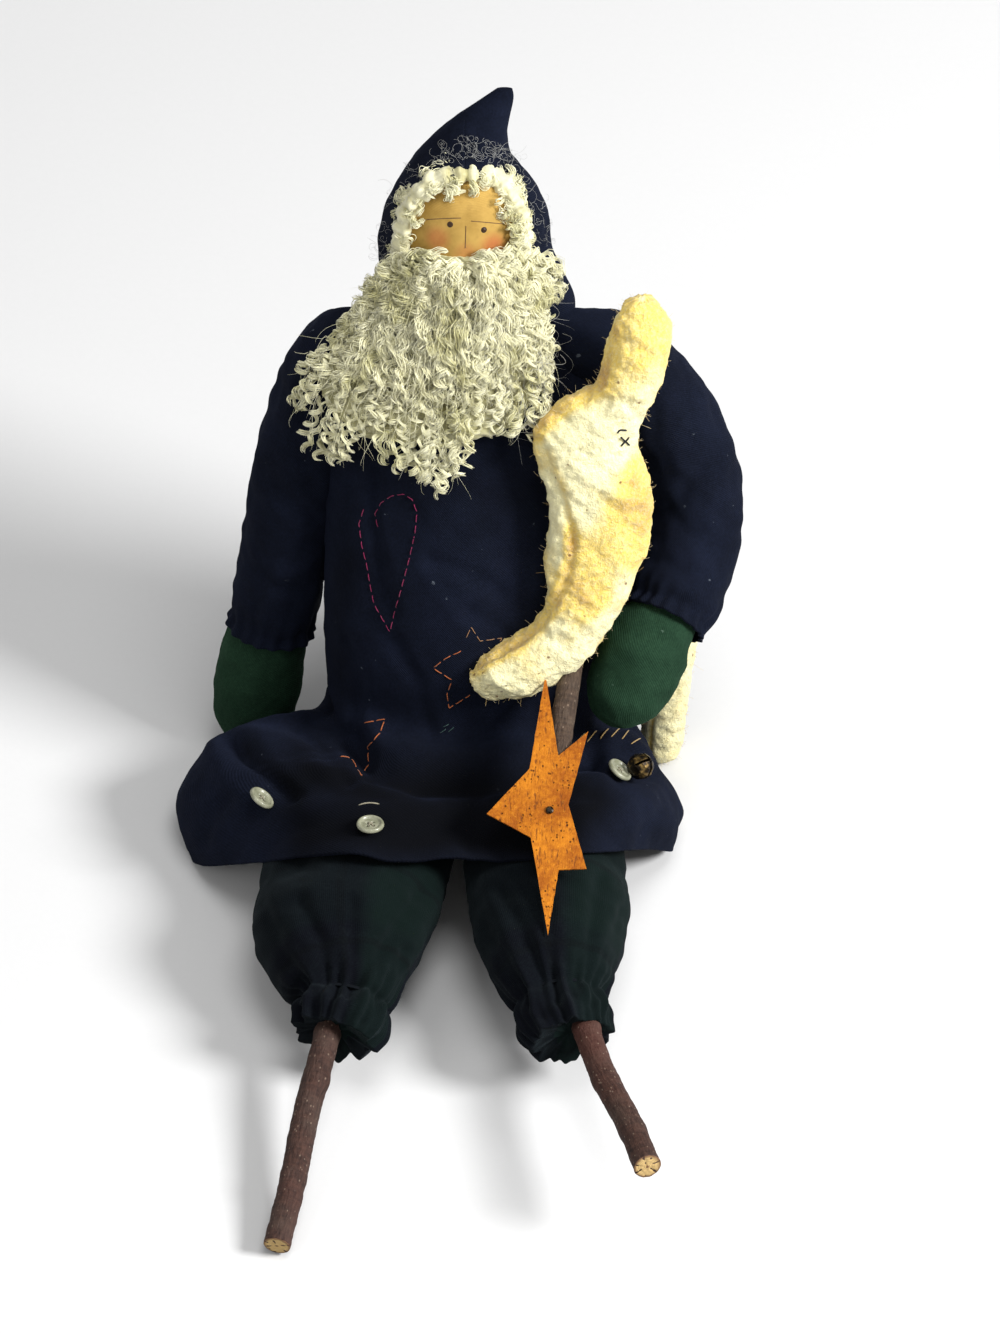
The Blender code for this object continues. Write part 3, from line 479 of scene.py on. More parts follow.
# Curly wool: streaks along each lock from the map, cream on the crests and greenish yellow in between.
def fleeceFinish(name, deep, middle, bright):
    finish, wire, place, shader = startFinish(name)
    cloth = wire.add("TexCoord", outlet=2)
    streak = noise(wire, stretched(wire, cloth, (3.0, 160.0, 1.0)), 1.0, 3.0, 0.6)
    patch = noise(wire, place, 52.0, 2.0)
    fine = noise(wire, place, 700.0, 2.0)
    tone = patch.fade(0.37, 0.52).blend(deep, middle)
    tone = (streak.fade(0.40, 0.66) * 0.6).blend(tone, bright)
    endFinish(wire, shader, tone, 0.6, streak + fine * 0.3, (0.5, 0.0008),
              {"Sheen Weight": 0.45, "Specular IOR Level": 0.4})
    return finish


# Stained batting: cream with orange-brown stains that gather at the edges, seed specks and a felted nap.
def battingFinish(name):
    finish, wire, place, shader = startFinish(name)
    edge = wire.add("Attribute", {"attribute_name": "stain"}, outlet=2)
    broad = noise(wire, place, 34.0, 5.0, 0.6)
    mid = noise(wire, place, 120.0, 4.0, 0.6)
    nap = noise(wire, place, 620.0, 4.0, 0.7)
    amount = broad * 0.9 + mid * 0.35 + edge * 0.75
    tone = amount.fade(0.62, 1.15).blend((1.0, 0.925, 0.53), (0.93, 0.67, 0.14))
    tone = (amount + nap * 0.3).fade(1.32, 1.85).blend(tone, (0.50, 0.235, 0.035))
    tone = (nap.fade(0.35, 0.75) * 0.35).blend(tone, (0.99, 0.95, 0.68))
    seeds = wire.add("TexVoronoi", {"feature": "F1"}, {"Vector": place, "Scale": 170.0})
    speck = (1.0 - seeds.fade(0.10, 0.16)) * noise(wire, place, 90.0, 0.0).fade(0.56, 0.62)
    tone = (speck * 0.85).blend(tone, (0.20, 0.085, 0.02))
    endFinish(wire, shader, tone, 0.95, nap + mid * 1.2 + broad * 0.8, (0.9, 0.0016),
              {"Sheen Weight": 0.2, "Specular IOR Level": 0.15})
    return finish


# Bark: long ridges and rings from the map, grey scurf on red-brown, and pale pores.
def barkFinish(name, dark, light, scurf):
    finish, wire, place, shader = startFinish(name)
    cloth = wire.add("TexCoord", outlet=2)
    grain = noise(wire, stretched(wire, cloth, (5.0, 1.0, 1.0)), 160.0, 5.0, 0.65)
    rings = noise(wire, stretched(wire, cloth, (0.6, 3.0, 1.0)), 130.0, 4.0, 0.7)
    blotch = noise(wire, place, 60.0, 4.0)
    tone = (grain * 0.6 + rings * 0.5).fade(0.35, 0.75).blend(dark, light)
    tone = ((blotch + grain * 0.5).fade(0.68, 0.95) * 0.55).blend(tone, scurf)
    redder = tuple(part * share for part, share in zip(light, (1.35, 0.8, 0.8)))
    tone = (noise(wire, place, 17.0, 1.0).fade(0.44, 0.62) * 0.35).blend(tone, redder)
    pores = wire.add("TexVoronoi", {}, {"Vector": stretched(wire, cloth, (1.0, 0.6, 1.0)), "Scale": 430.0})
    tone = ((1.0 - pores.fade(0.10, 0.19)) * 0.5).blend(tone, (0.30, 0.22, 0.16))
    endFinish(wire, shader, tone, 0.72, grain * 1.3 + rings * 0.7, (0.9, 0.0010), {"Specular IOR Level": 0.35})
    return finish


# Cut wood: rings round a dark pith, and a browner rim.
def cutFinish(name, middle, radius):
    finish, wire, place, shader = startFinish(name)
    gap = gapTo(wire, place, middle)
    rough = noise(wire, place, 500.0, 4.0)
    ring = wire.sum("SINE", gap * 9000.0 + rough * 5.0).fade(-0.6, 1.0)
    tone = (ring * 0.5 + rough * 0.5).blend((0.78, 0.56, 0.24), (0.50, 0.31, 0.11))
    tone = (gap / (radius * mm)).fade(0.72, 0.98).blend(tone, (0.20, 0.10, 0.045))
    tone = (1.0 - (gap / (radius * mm)).fade(0.05, 0.2)).blend(tone, (0.16, 0.07, 0.03))
    endFinish(wire, shader, tone, 0.8, ring + rough, (0.5, 0.0006))
    return finish


# Rusty tin: golden and brown rust in layers, fine pits and upright scratches.
def rustFinish(name):
    finish, wire, place, shader = startFinish(name)
    broad = noise(wire, place, 55.0, 5.0, 0.6)
    grit = noise(wire, place, 520.0, 5.0, 0.75)
    tone = (broad * 0.75 + grit * 0.45).fade(0.42, 0.78).blend((0.27, 0.066, 0.003), (0.60, 0.205, 0.010))
    scratch = noise(wire, stretched(wire, place, (1.0, 0.22, 0.22)), 900.0, 2.0, 0.6)
    tone = (scratch.fade(0.58, 0.68) * 0.75).blend(tone, (0.13, 0.034, 0.006))
    tone = (grit.fade(0.60, 0.74) * 0.7).blend(tone, (0.68, 0.30, 0.03))
    pits = wire.add("TexVoronoi", {}, {"Vector": place, "Scale": 420.0})
    pit = (1.0 - pits.fade(0.12, 0.26)) * noise(wire, place, 110.0, 2.0).fade(0.46, 0.56)
    tone = (pit * 0.9).blend(tone, (0.085, 0.024, 0.006))
    height = grit * 0.6 - pit * 1.2 - scratch * 0.6 + broad * 0.3
    endFinish(wire, shader, tone, grit * 0.3 + 0.42, height, (0.8, 0.0006),
              {"Metallic": 0.1, "Specular IOR Level": 0.15})
    return finish


# Plain dyed thread or twine, finely mottled.
def threadFinish(name, colour, shine, sheen=0.2):
    finish, wire, place, shader = startFinish(name)
    fine = noise(wire, place, 1500.0, 2.0)
    tone = fine.fade(0.3, 0.8).blend(tuple(v * 0.6 for v in colour), colour)
    endFinish(wire, shader, tone, shine, fine, (0.5, 0.0003),
              {"Sheen Weight": sheen, "Specular IOR Level": 0.15})
    return finish


# Blackened metal with rust on its high places.
def darkMetalFinish(name):
    finish, wire, place, shader = startFinish(name)
    broad = noise(wire, place, 260.0, 4.0)
    tone = broad.fade(0.45, 0.7).blend((0.018, 0.014, 0.011), (0.34, 0.22, 0.075))
    endFinish(wire, shader, tone, broad * 0.4 + 0.18, broad, (0.4, 0.0004), {"Metallic": 0.95})
    return finish


# Cream button: faint clouds as in shell, glossy.
def buttonFinish(name):
    finish, wire, place, shader = startFinish(name)
    cloud = noise(wire, place, 220.0, 3.0)
    tone = cloud.fade(0.3, 0.75).blend((0.20, 0.205, 0.135), (0.36, 0.36, 0.26))
    endFinish(wire, shader, tone, 0.32, cloud, (0.12, 0.0003), {"Coat Weight": 0.3, "Coat Roughness": 0.2})
    return finish


navyWool = woolFinish("navy_wool", (0.0030, 0.0042, 0.0090), (0.0088, 0.0122, 0.0270),
                      (0.13, 0.15, 0.18), 0.0)
greenWool = woolFinish("green_wool", (0.0075, 0.0225, 0.0125), (0.0225, 0.0580, 0.0310),
                       (0.10, 0.16, 0.12), 3.0)
plaidFlannel = plaidFinish("plaid_flannel")
muslin = muslinFinish("stained_muslin")
fleece = fleeceFinish("cream_fleece", (0.64, 0.60, 0.26), (0.97, 0.93, 0.60), (1.0, 0.98, 0.74))
# Painted shade: the beard's mat is the fleece darkened, to stand for the shade between its locks.
fleeceMatShade = fleeceFinish("fleece_mat_painted_shade", (0.22, 0.20, 0.075), (0.42, 0.395, 0.20), (0.60, 0.57, 0.36))
fleecePale = fleeceFinish("pale_fleece", (0.46, 0.42, 0.19), (0.70, 0.66, 0.40), (0.88, 0.85, 0.62))
napHair = fleeceFinish("batting_hair", (0.50, 0.30, 0.09), (0.74, 0.55, 0.24), (0.90, 0.80, 0.50))
looseHair = fleeceFinish("loose_hair", (0.34, 0.34, 0.31), (0.46, 0.46, 0.43), (0.60, 0.60, 0.56))
batting = battingFinish("stained_batting")
rustyTin = rustFinish("rusty_tin")
darkMetal = darkMetalFinish("dark_metal")
buttonCream = buttonFinish("cream_button")
redBark = barkFinish("red_bark", (0.018, 0.007, 0.005), (0.078, 0.034, 0.023), (0.072, 0.045, 0.034))
greyBark = barkFinish("grey_bark", (0.026, 0.015, 0.010), (0.088, 0.054, 0.034), (0.13, 0.095, 0.066))
darkTwine = threadFinish("dark_twine", (0.004, 0.006, 0.009), 0.95, 0.0)
print("finishes made")


# The robe. Its dark lines, painted shade in the lap's folds, beside the left sleeve and under the beard, are
# places in the picture, each with a depth and a width.
robeShape = {
    "dark": [([(310, 770), (370, 782), (450, 786), (560, 788), (590, 800)], 0.95, 30),
             ([(310, 835), (450, 835), (560, 840)], 0.95, 30), ([(250, 745), (275, 772), (300, 800)], 0.55, 9),
             ([(345, 560), (335, 640), (345, 700)], 0.35, 14), ([(420, 480), (520, 500)], 0.3, 26)],
    "lap": 71.2, "left": 127.0, "right": 97.0, "back": 67.0, "reach": 114.0, "floor": 1.5,
    "around": 288, "stepsPerRow": 11, "wall": 1.6,
    "bumps": ((0.8, 34, 11, (1, 1, 0.45)), (0.35, 13, 12, 1)), "darkest": 0.93, "hemRows": 20,
    # above the skirt: height, half width and half depth as shares of the belly's, and its share of a shift
    "belly": (66.0, 48.0, 4.0),
    "upper": ((62, 0.985, 0.96, 1.0), (90, 1.0, 1.0, 1.0), (125, 0.985, 0.98, 1.0), (160, 0.97, 0.9, 0.75),
              (195, 0.985, 0.77, 0.5), (220, 1.0, 0.65, 0.0), (237, 0.88, 0.56, 0.0), (249, 0.64, 0.48, 0.0),
              (257, 0.4, 0.41, 0.0)),
}


# The rows: four listed round the spread skirt, then leaned ovals up to the neck, with folds as two waves round
# the belly.
def robeRows():
    lap, left, right = robeShape["lap"], robeShape["left"], robeShape["right"]
    back, reach, floor = robeShape["back"], robeShape["reach"], robeShape["floor"]
    hem = [(0, 5 - reach, lap - 8), (42, -reach, lap), (80, -86, 46), (right, -43, 3),
           (right - 5, -14, floor), (66, 41, floor), (0, back, floor), (-64, 43, floor), (-88, 7, floor),
           (5 - left, -9, floor), (-left - 2, -52, 2), (-60, -reach, lap)]
    edge = [(0, 24 - reach, lap - 6), (42, 22 - reach, lap), (76, -79, lap - 14), (right + 3, -46, 28),
            (right, -16, 14), (66, 41, 14), (0, back + 1, 12), (-62, 38, 11), (-88, 5, 24),
            (-left, -8, 20), (-left - 2, -44, 29), (-58, 22 - reach, lap)]
    crest = [(0, -62, lap - 5), (38, -64, lap), (69, -54, lap - 7), (right - 14, -34, 48),
             (right - 13, -8, 36), (62, 36, 34), (0, back - 2, 30), (-59, 31, 20), (-81, 3, 47),
             (17 - left, -10, 48), (25 - left, -42, 58), (-52, -64, lap)]
    hollow = [(0, -42, 66), (34, -43, 64), (56, -30, 58), (66, -8, 50), (67, 8, 46), (59, 41, 44),
              (0, back - 1, 42), (-57, 39, 42), (-61, 8, 45), (-64, -6, 48), (-58, -30, 56), (-36, -43, 64)]
    turn = np.arange(robeShape["around"]) / robeShape["around"]
    rows = [between(row, turn * 12, closed=True) for row in (hem, edge, crest, hollow)]
    angle = 2 * math.pi * turn
    folds = 0.8 * (0.6 * np.cos(5 * angle + 0.7) + 0.4 * np.cos(9 * angle + 2.0))
    halfWidth, halfDepth, ahead = robeShape["belly"]
    for up, wide, deep, shift in robeShape["upper"]:
        rows.append(leaned((halfWidth * wide + folds) * np.sin(angle),
                           ahead * shift + (halfDepth * deep + folds) * np.cos(angle), up))
    return np.array(rows)


# Creases of the cloth as the camera sees them: a line in the picture, its depth and its width.
robeCreases = [
    ([(378, 470), (372, 520), (380, 575), (392, 612)], -1.7, 7),
    ([(352, 480), (345, 540), (350, 610)], -1.4, 8),
    ([(500, 590), (465, 572), (430, 560)], -1.8, 8),
    ([(530, 660), (500, 628), (470, 612)], -1.4, 7),
    ([(345, 640), (360, 690), (352, 730)], -1.7, 8),
    ([(395, 640), (420, 690), (430, 740)], -1.3, 9),
    ([(352, 742), (372, 768), (420, 783), (480, 785), (530, 772), (566, 758), (590, 756)], -7.5, 13),
    ([(380, 745), (440, 758), (520, 750)], 3.2, 14),
    ([(300, 806), (345, 812), (400, 818), (520, 820), (600, 812), (650, 806)], 3.6, 15),
    ([(604, 740), (626, 741), (643, 756)], 4.6, 12),
    ([(598, 762), (622, 776), (652, 773)], -4.2, 9),
    ([(232, 741), (258, 766), (294, 798)], -5.6, 9),
    ([(256, 738), (296, 746), (332, 766)], 3.2, 13),
    ([(300, 730), (324, 756), (350, 782)], -2.8, 8),
    ([(213, 748), (222, 775), (246, 800)], 2.6, 11),
    ([(205, 842), (214, 812), (232, 796)], -2.2, 8),
    ([(262, 862), (272, 838), (300, 826)], -1.8, 8),
    ([(470, 848), (480, 822), (478, 798)], -1.2, 8),
    ([(566, 848), (572, 822), (560, 800)], -1.2, 8),
    ([(640, 848), (650, 820), (662, 800)], -1.3, 8),
]


# The depth of all the creases at places in the picture: each is a bell across its line, less a wider
# and lower one, so that its sides swell a little.
def creased(spots, creases):
    depth = np.zeros(spots.shape[:-1])
    for line, deep, width in creases:
        depth += deep * (nearLine(spots, line, width) * 1.3 - nearLine(spots, line, width * 2.1) * 0.45)
    return depth


# The robe: its rows joined by the cubic, then moved along the normals by soft waves and by the creases.
def makeRobe():
    rows = robeRows()
    steps = robeShape["stepsPerRow"]
    grid = between(rows, np.linspace(0, len(rows) - 1, (len(rows) - 1) * steps + 1))
    normal = gridNormals(grid)
    normal *= np.sign((normal * (grid - grid.mean((0, 1)))).sum(-1).mean())
    spots = inPicture(grid)
    facing = facingSight(normal)
    out = bumps(grid, robeShape["bumps"]) + facing * creased(spots, robeCreases)
    hem = smoothStep(np.arange(len(grid)), robeShape["hemRows"], 0)[:, None]
    turn = evenTurns(robeShape["around"])
    out = out + hem * (1.2 * np.cos(9 * turn + 1.2 * np.sin(4 * turn)) + 0.6 * np.cos(16 * turn + 2.0))
    grid = grid + normal * out[..., None]
    grid[..., 2] = np.maximum(grid[..., 2], robeShape["floor"])
    robe = skin("robe_cloth", grid, navyWool, ends=(False, False))
    # Painted shade: the cloth's colour darkened towards black along the dark lines, on faces that turn to the
    # camera.
    dark = sum(depth * nearLine(spots, line, width) for line, depth, width in robeShape["dark"]) * facing
    paint(robe, "paintedShade", np.clip(dark, 0, robeShape["darkest"]))
    return handOver(thicken(robe, robeShape["wall"]), "robe")


robe = makeRobe()
print("robe made")


# Sleeves. Each place on a sleeve's path is a point and what its half width and half depth add to the radius.
# Creases are lines in the picture, with a depth and a width.
sleeveShape = {
    "radius": 22.0, "around": 120, "steps": 120, "wall": 1.4,
    "gatherAt": 0.955, "gatherReach": 0.03, "gatherDepth": 1.5, "waves": 17, "waveHeight": 0.75,
    "bumps": ((0.9, 27, 21, (1, 1, 1.3)), (0.35, 11, 22, 1)),
    "left": ((-46, 61, 236, -9, -7), (-60, 60, 227, -4, -1), (-68, 57, 205, -2, 1), (-76, 51.5, 168, 0, 1),
             (-82, 46.5, 130, -0.5, 0), (-87, 42, 98, -1, -0.5), (-91.5, 39, 70, -1, -1)),
    "right": ((38, 61, 233, -9, -7), (68, 60, 227, -3.5, -2), (83, 57, 209, -1, 0), (95, 52, 192, 0, 0),
              (105, 46, 166, 0.5, 0), (107, 34, 141, 0.5, 0), (101, 14, 123, -0.5, -1.5),
              (92.0, -3, 113.6, -1.5, -3.5)),
    "leftCreases": [
        ([(262, 470), (285, 500), (315, 520)], -1.6, 8), ([(305, 380), (300, 430), (310, 480)], -1.2, 9),
        ([(240, 560), (270, 585), (305, 590)], -1.3, 8), ([(250, 620), (262, 590), (270, 560)], -1.0, 7),
    ],
    "rightCreases": [
        ([(655, 560), (690, 575), (725, 565)], -1.3, 9), ([(650, 520), (680, 500), (700, 470)], -1.4, 9),
        ([(640, 590), (670, 596), (700, 610)], -1.2, 7), ([(620, 350), (650, 400), (660, 450)], -1.0, 10),
    ],
}


# A sleeve: rings along its path, with gathers near the cuff that stand out as waves round it.
def makeSleeve(side):
    stations = np.array(sleeveShape[side], float)
    place = np.linspace(0, len(stations) - 1, sleeveShape["steps"])
    rows = between(stations, place)
    share = place / place[-1]
    turns = evenTurns(sleeveShape["around"])
    far = (share - sleeveShape["gatherAt"]) / sleeveShape["gatherReach"]
    gather = sleeveShape["gatherDepth"] * np.exp(-far ** 2)
    wave = np.cos(sleeveShape["waves"] * turns + 0.8 * np.sin(3 * turns))
    wave = wave * smoothStep(share, 0.86, 0.98)[:, None]
    radius = sleeveShape["radius"]
    wide, deep = radius + rows[:, 3] - gather, radius + rows[:, 4] - gather
    grid = pathRings(rows[:, :3], wide, deep, turns[None, :])
    normal = outFrom(grid, rows[:, None, :3])
    spots = inPicture(grid)
    facing = facingSight(normal)
    out = bumps(grid, sleeveShape["bumps"]) + sleeveShape["waveHeight"] * wave
    out = out + facing * creased(spots, sleeveShape[side + "Creases"])
    grid = grid + normal * out[..., None]
    sleeve = thicken(skin(side + "_sleeve_cloth", grid, navyWool, ends=(True, False)), sleeveShape["wall"])
    return handOver(sleeve, side + "_sleeve")


mittenShape = {
    "around": 96, "steps": 90, "fill": 0.7, "seamWidth": 0.07, "seamDepth": 0.5, "lowest": 0.5,
    "bumps": ((0.5, 16, 31, 1), (0.2, 7, 32, 1)),
    "left": ((-90.4, 39.6, 76, 16.4, 16.4), (-91.5, 39, 70, 17, 17), (-94.5, 37, 59, 19.4, 18.3),
             (-98.5, 33.5, 34, 20.8, 18), (-100.5, 31, 14, 17.4, 14.5), (-101, 30.5, 5, 10.5, 9),
             (-101, 30.5, 1.6, 4, 3.5)),
    "right": ((97.5, 6, 119, 14.2, 13.6), (91.0, -3.5, 113.6, 17.4, 14.5), (84, -12, 107, 21.4, 17.3),
              (78.5, -20, 95, 20.5, 17), (71.5, -27, 85.5, 17.5, 14.5), (66.8, -31.5, 79.5, 11, 9),
              (65, -33.2, 77, 4.5, 3.5)),
}


# A mitten: rings along the hand, with a seam pressed in along both edges.
def makeMitten(side):
    stations = np.array(mittenShape[side], float)
    place = np.linspace(0, len(stations) - 1, mittenShape["steps"])
    rows = between(stations, place)
    turns = evenTurns(mittenShape["around"])
    wide, deep = np.maximum(rows[:, 3:], 1.0).T
    grid = pathRings(rows[:, :3], wide, deep, turns[None, :])
    normal = outFrom(grid, rows[:, None, :3])
    seam = sum(np.exp(-(gap / mittenShape["seamWidth"]) ** 2)
               for gap in (np.minimum(turns, 2 * math.pi - turns), turns - math.pi))
    out = bumps(grid, mittenShape["bumps"]) - mittenShape["seamDepth"] * seam
    grid = grid + normal * out[..., None]
    grid[..., 2] = np.maximum(grid[..., 2], mittenShape["lowest"])
    mitten = skin(side + "_mitten_wool", grid, greenWool)
    return handOver(mitten, side + "_mitten")


armShape = {"from": 0.25, "short": 1.6, "thinner": 6.5, "around": 64, "steps": 60, "fill": 0.8}


# An arm: rings along the sleeve's own path, thinner than the sleeve, closed at both ends.
def makeArm(side):
    stations = np.array(sleeveShape[side], float)
    steps = armShape["steps"]
    rows = between(stations, np.linspace(armShape["from"], len(stations) - armShape["short"], steps))
    radius = sleeveShape["radius"] - armShape["thinner"]
    ease = np.sqrt(np.clip(1 - np.linspace(-1, 1, steps) ** 8, 0.05, 1))
    grid = pathRings(rows[:, :3], (radius + rows[:, 3]) * ease, (radius + rows[:, 4]) * ease,
                     evenTurns(armShape["around"])[None, :])
    arm = skin(side + "_muslin_arm", grid, muslin)
    return handOver(arm, side + "_arm")


for side in ("left", "right"):
    makeSleeve(side)
    makeArm(side)
    makeMitten(side)
print("sleeves, arms and mittens made")


# The hood. Each row is a height over the head's middle, its left and right ends, its back and its front.
hoodShape = {
    "headCentre": 303.0, "archHalf": 27.0, "archRise": 34.0, "wall": 1.6, "around": 150, "rows": 150,
    "bumps": ((0.7, 26, 41, 1), (0.3, 10, 42, 1)),
    "rowsUp": ((-56, -35, 51, -31, 12), (-43, -38, 49.5, -35, 16), (-28, -40, 43.5, -38, 21),
               (-13, -40, 39.5, -39, 26.5), (1, -37.5, 38.5, -38.5, 31.5), (13, -33.5, 34, -36, 33),
               (24, -27.8, 26.8, -31.5, 29), (31, -23, 21, -27, 23), (41, -15, 19.9, -19, 13),
               (49, -7.5, 20.4, -13, 8), (57, 1.5, 21.6, -8, 4), (63.5, 9.5, 22.4, -4.5, 1.5),
               (67.4, 14.5, 21.8, -2.8, 0.2)),
}


# Oval rings from the neck to the peak. Each runs from one side of the face's arch round the back to the
# other, and above the arch both ends meet in the middle of the front.
def makeHood():
    rows = np.array(hoodShape["rowsUp"], float)
    spread = np.linspace(0, 1, hoodShape["rows"])
    place = np.interp(spread, [0, 0.45, 0.8, 1], [0, 6.6, 8.4, len(rows) - 1])
    rise, left, right, back, front = between(rows, place).T
    middle, wide = (left + right) / 2, (right - left) / 2
    centre, deep = (back + front) / 2, (front - back) / 2
    level = np.clip(rise / hoodShape["archRise"], 0, 1)
    half = hoodShape["archHalf"] * np.sqrt(1 - level ** 2)
    half = np.where(rise > hoodShape["archRise"], 0.0, half)
    edgeRight, edgeLeft = (np.arcsin(np.clip((edge - middle) / wide, -0.98, 0.98)) for edge in (half, -half))
    share = np.linspace(0, 1, hoodShape["around"])[None, :]
    turn = edgeRight[:, None] + (2 * math.pi + edgeLeft - edgeRight)[:, None] * share
    up = hoodShape["headCentre"] + rise
    grid = leaned(middle[:, None] + wide[:, None] * np.sin(turn),
                  centre[:, None] + deep[:, None] * np.cos(turn), up[:, None])
    normal = outFrom(grid, leaned(middle, centre, up)[:, None])
    fade = smoothStep(wide, 1.0, 14.0)[:, None]
    out = bumps(grid, hoodShape["bumps"]) * fade
    grid = grid + normal * out[..., None]
    hood = thicken(skin("hood_cloth", grid, navyWool, closed=False, ends=(False, False)), hoodShape["wall"])
    return handOver(hood, "hood")


hood = makeHood()
print("hood made")


headShape = {
    "wide": 34.0, "deep": 32.0, "high": 37.0, "centre": 303.0, "neck": 16.0, "neckHeights": (256.4, 262.0),
    "fill": 0.9, "around": 96, "steps": 80, "bumps": ((0.25, 14, 51, 1),),
}


# The head: an oval ball of stuffed muslin on a short neck.
def makeHead():
    angle = np.radians(np.linspace(-62, 89.5, headShape["steps"]))
    up = headShape["centre"] + headShape["high"] * np.sin(angle)
    wide, deep = headShape["wide"] * np.cos(angle), headShape["deep"] * np.cos(angle)
    neck = headShape["neck"]
    up = np.concatenate([headShape["neckHeights"], up])
    wide, deep = (np.concatenate([[neck, neck], x]) for x in (wide, deep))
    turns = evenTurns(headShape["around"])
    grid = leaned(wide[:, None] * np.sin(turns), deep[:, None] * np.cos(turns), up[:, None])
    normal = outFrom(grid, leaned(0.0, 0.0, up)[:, None])
    grid = grid + normal * bumps(grid, headShape["bumps"])[..., None]
    head = skin("muslin_head", grid, muslin)
    return handOver(head, "head")


head = makeHead()
print("head made")


# Pants legs. Each place is a point, the half width there and what the half height gains.
pantsShape = {
    "axisHeight": 34.0, "halfHeight": 33.0, "around": 144, "steps": 130, "fill": 0.75, "lowest": 0.6,
    "bumps": ((0.9, 30, 61, 1), (0.4, 12, 62, 1)), "pleatHeight": 2.0, "pinch": 1.2,
    "left": ((-28, -24, -3, 26, -8), (-42, -58, -2, 40, -3), (-51, -89, 0, 43.5, 0), (-57, -121, 0, 42, 0),
             (-57.5, -140, 0, 38, -3), (-56, -156, 0, 30, -9), (-55, -166, 0, 24, -13),
             (-56, -174, 0, 20, -17), (-58, -184, -0.5, 22.5, -15), (-61, -193, -1.5, 20, -17.5)),
    "right": ((24, -24, -3, 24, -8), (35, -60, -2, 36, -3), (38.6, -103, 1, 38, -1), (39.6, -129, 2, 35.4, -2),
              (40.7, -150, 4, 30, -6), (42.2, -166, 4, 24.6, -12),
              (43.5, -176, 4.5, 20, -17), (46, -189, 4.5, 22.5, -16), (49, -200, 4.5, 20, -17.5)),
    "turnedIn": ((0.96, -0.1), (0.9, 0.2), (0.78, 0.9), (0.62, 1.8), (0.46, 2.6), (0.38, 3.0)),
    "dents": (((-76, -100, 56), 20, 9), ((68, -92, 50), 16, 5), ((-46, -46, 62), 22, 7),
              ((42, -46, 62), 22, 7)),
    "leftCreases": [
        ([(300, 900), (322, 945), (334, 992)], -2.6, 9), ([(424, 890), (392, 936), (352, 988)], -2.8, 9),
        ([(352, 900), (352, 945), (343, 990)], -1.6, 7), ([(262, 900), (280, 950), (304, 985)], -1.5, 8),
        ([(405, 950), (385, 990), (365, 1020)], -1.8, 6),
    ],
    "rightCreases": [
        ([(500, 890), (528, 945), (556, 995)], -2.2, 9), ([(600, 880), (592, 935), (574, 990)], -2.6, 9),
        ([(626, 905), (608, 955), (594, 1000)], -1.6, 7), ([(486, 930), (512, 980), (536, 1015)], -1.6, 7),
        ([(548, 900), (556, 950), (562, 990)], -1.4, 7),
    ],
}


# A pants leg: rings along the stuffed leg, gathered into waves at the ankle, past which the ruffle's edge
# turns in to the twig.
def makeLeg(side):
    stations = np.array(pantsShape[side], float)
    place = np.linspace(0, len(stations) - 1, pantsShape["steps"])
    rows = between(stations, place)
    ankle = len(stations) - 3
    turns = evenTurns(pantsShape["around"])
    wide = rows[:, 3]
    deep = pantsShape["halfHeight"] + rows[:, 4]
    centres = rows[:, :3] + np.array([0, 0, pantsShape["axisHeight"]])
    gather = smoothStep(place, ankle - 2.6, ankle)[:, None]
    ruffle = smoothStep(place, ankle + 0.1, ankle + 2.0)[:, None]
    pleats = np.cos(13 * turns + 1.4 * np.sin(3 * turns + 1.0)) * 0.62 + np.cos(23 * turns + 2.0) * 0.3
    lobes = np.cos(8 * turns + 1.1 * np.sin(2 * turns + wide[0])) + 0.2 * np.cos(15 * turns + 1.0)
    pinch = np.exp(-((place - ankle) / 0.22) ** 2)[:, None]
    grid = pathRings(centres, wide, deep, turns[None, :])
    normal = outwardNormals(grid, centres[:, None])
    slope = np.sin(turns)[None, :] * ruffle
    out = pleats * gather * pantsShape["pleatHeight"] + (lobes * 1.7 - 1.2) * ruffle
    out = out - pantsShape["pinch"] * pinch - 2.2 * np.maximum(slope, 0) + bumps(grid, pantsShape["bumps"])
    out = out + facingSight(normal) * creased(inPicture(grid), pantsShape[side + "Creases"])
    for dent, reach, depth in pantsShape["dents"]:
        out = out - depth * np.exp(-(np.linalg.norm(grid - np.array(dent), axis=-1) / reach) ** 2)
    grid = grid + normal * out[..., None]
    grid[..., 2] = np.maximum(grid[..., 2], pantsShape["lowest"])
    inward = (centres[-4] - centres[-1])[None, :]
    deeper = (1.0 - 0.12 * lobes + 0.3 * np.sin(turns))[:, None]
    turnedIn = [centres[-1] + (grid[-1] - centres[-1]) * share + inward * deeper * back
                for share, back in pantsShape["turnedIn"]]
    grid = np.concatenate([grid, turnedIn])
    leg = skin(side + "_pants_leg", grid, plaidFlannel)
    return handOver(leg, "pants_" + side + "_leg")


tieShape = {"radius": 0.45, "sunk": 2.6, "steps": 160, "winds": 2}


# A tie: twine that winds round the pleats at an ankle, drawn in below their crests.
def makeTie(side):
    stations = np.array(pantsShape[side], float)
    row = stations[len(stations) - 3]
    along = stations[len(stations) - 2] - stations[len(stations) - 4]
    steps, whole = tieShape["steps"], 2 * math.pi * tieShape["winds"]
    turn = np.linspace(0, whole, steps)
    wide, deep = row[3] - tieShape["sunk"], pantsShape["halfHeight"] + row[4] - tieShape["sunk"]
    centres = (row[:3] + np.array([0, 0, pantsShape["axisHeight"]])
               + np.outer(turn / whole - 0.5, along[:3] / 12))
    ring = pathRings(centres, np.full(steps, wide), np.full(steps, deep), turn[:, None])[:, 0]
    tie = strands(side + "_tie_twine", ring[None], np.full((1, steps), tieShape["radius"]), darkTwine, 6)
    return handOver(tie, side + "_ankle_tie")


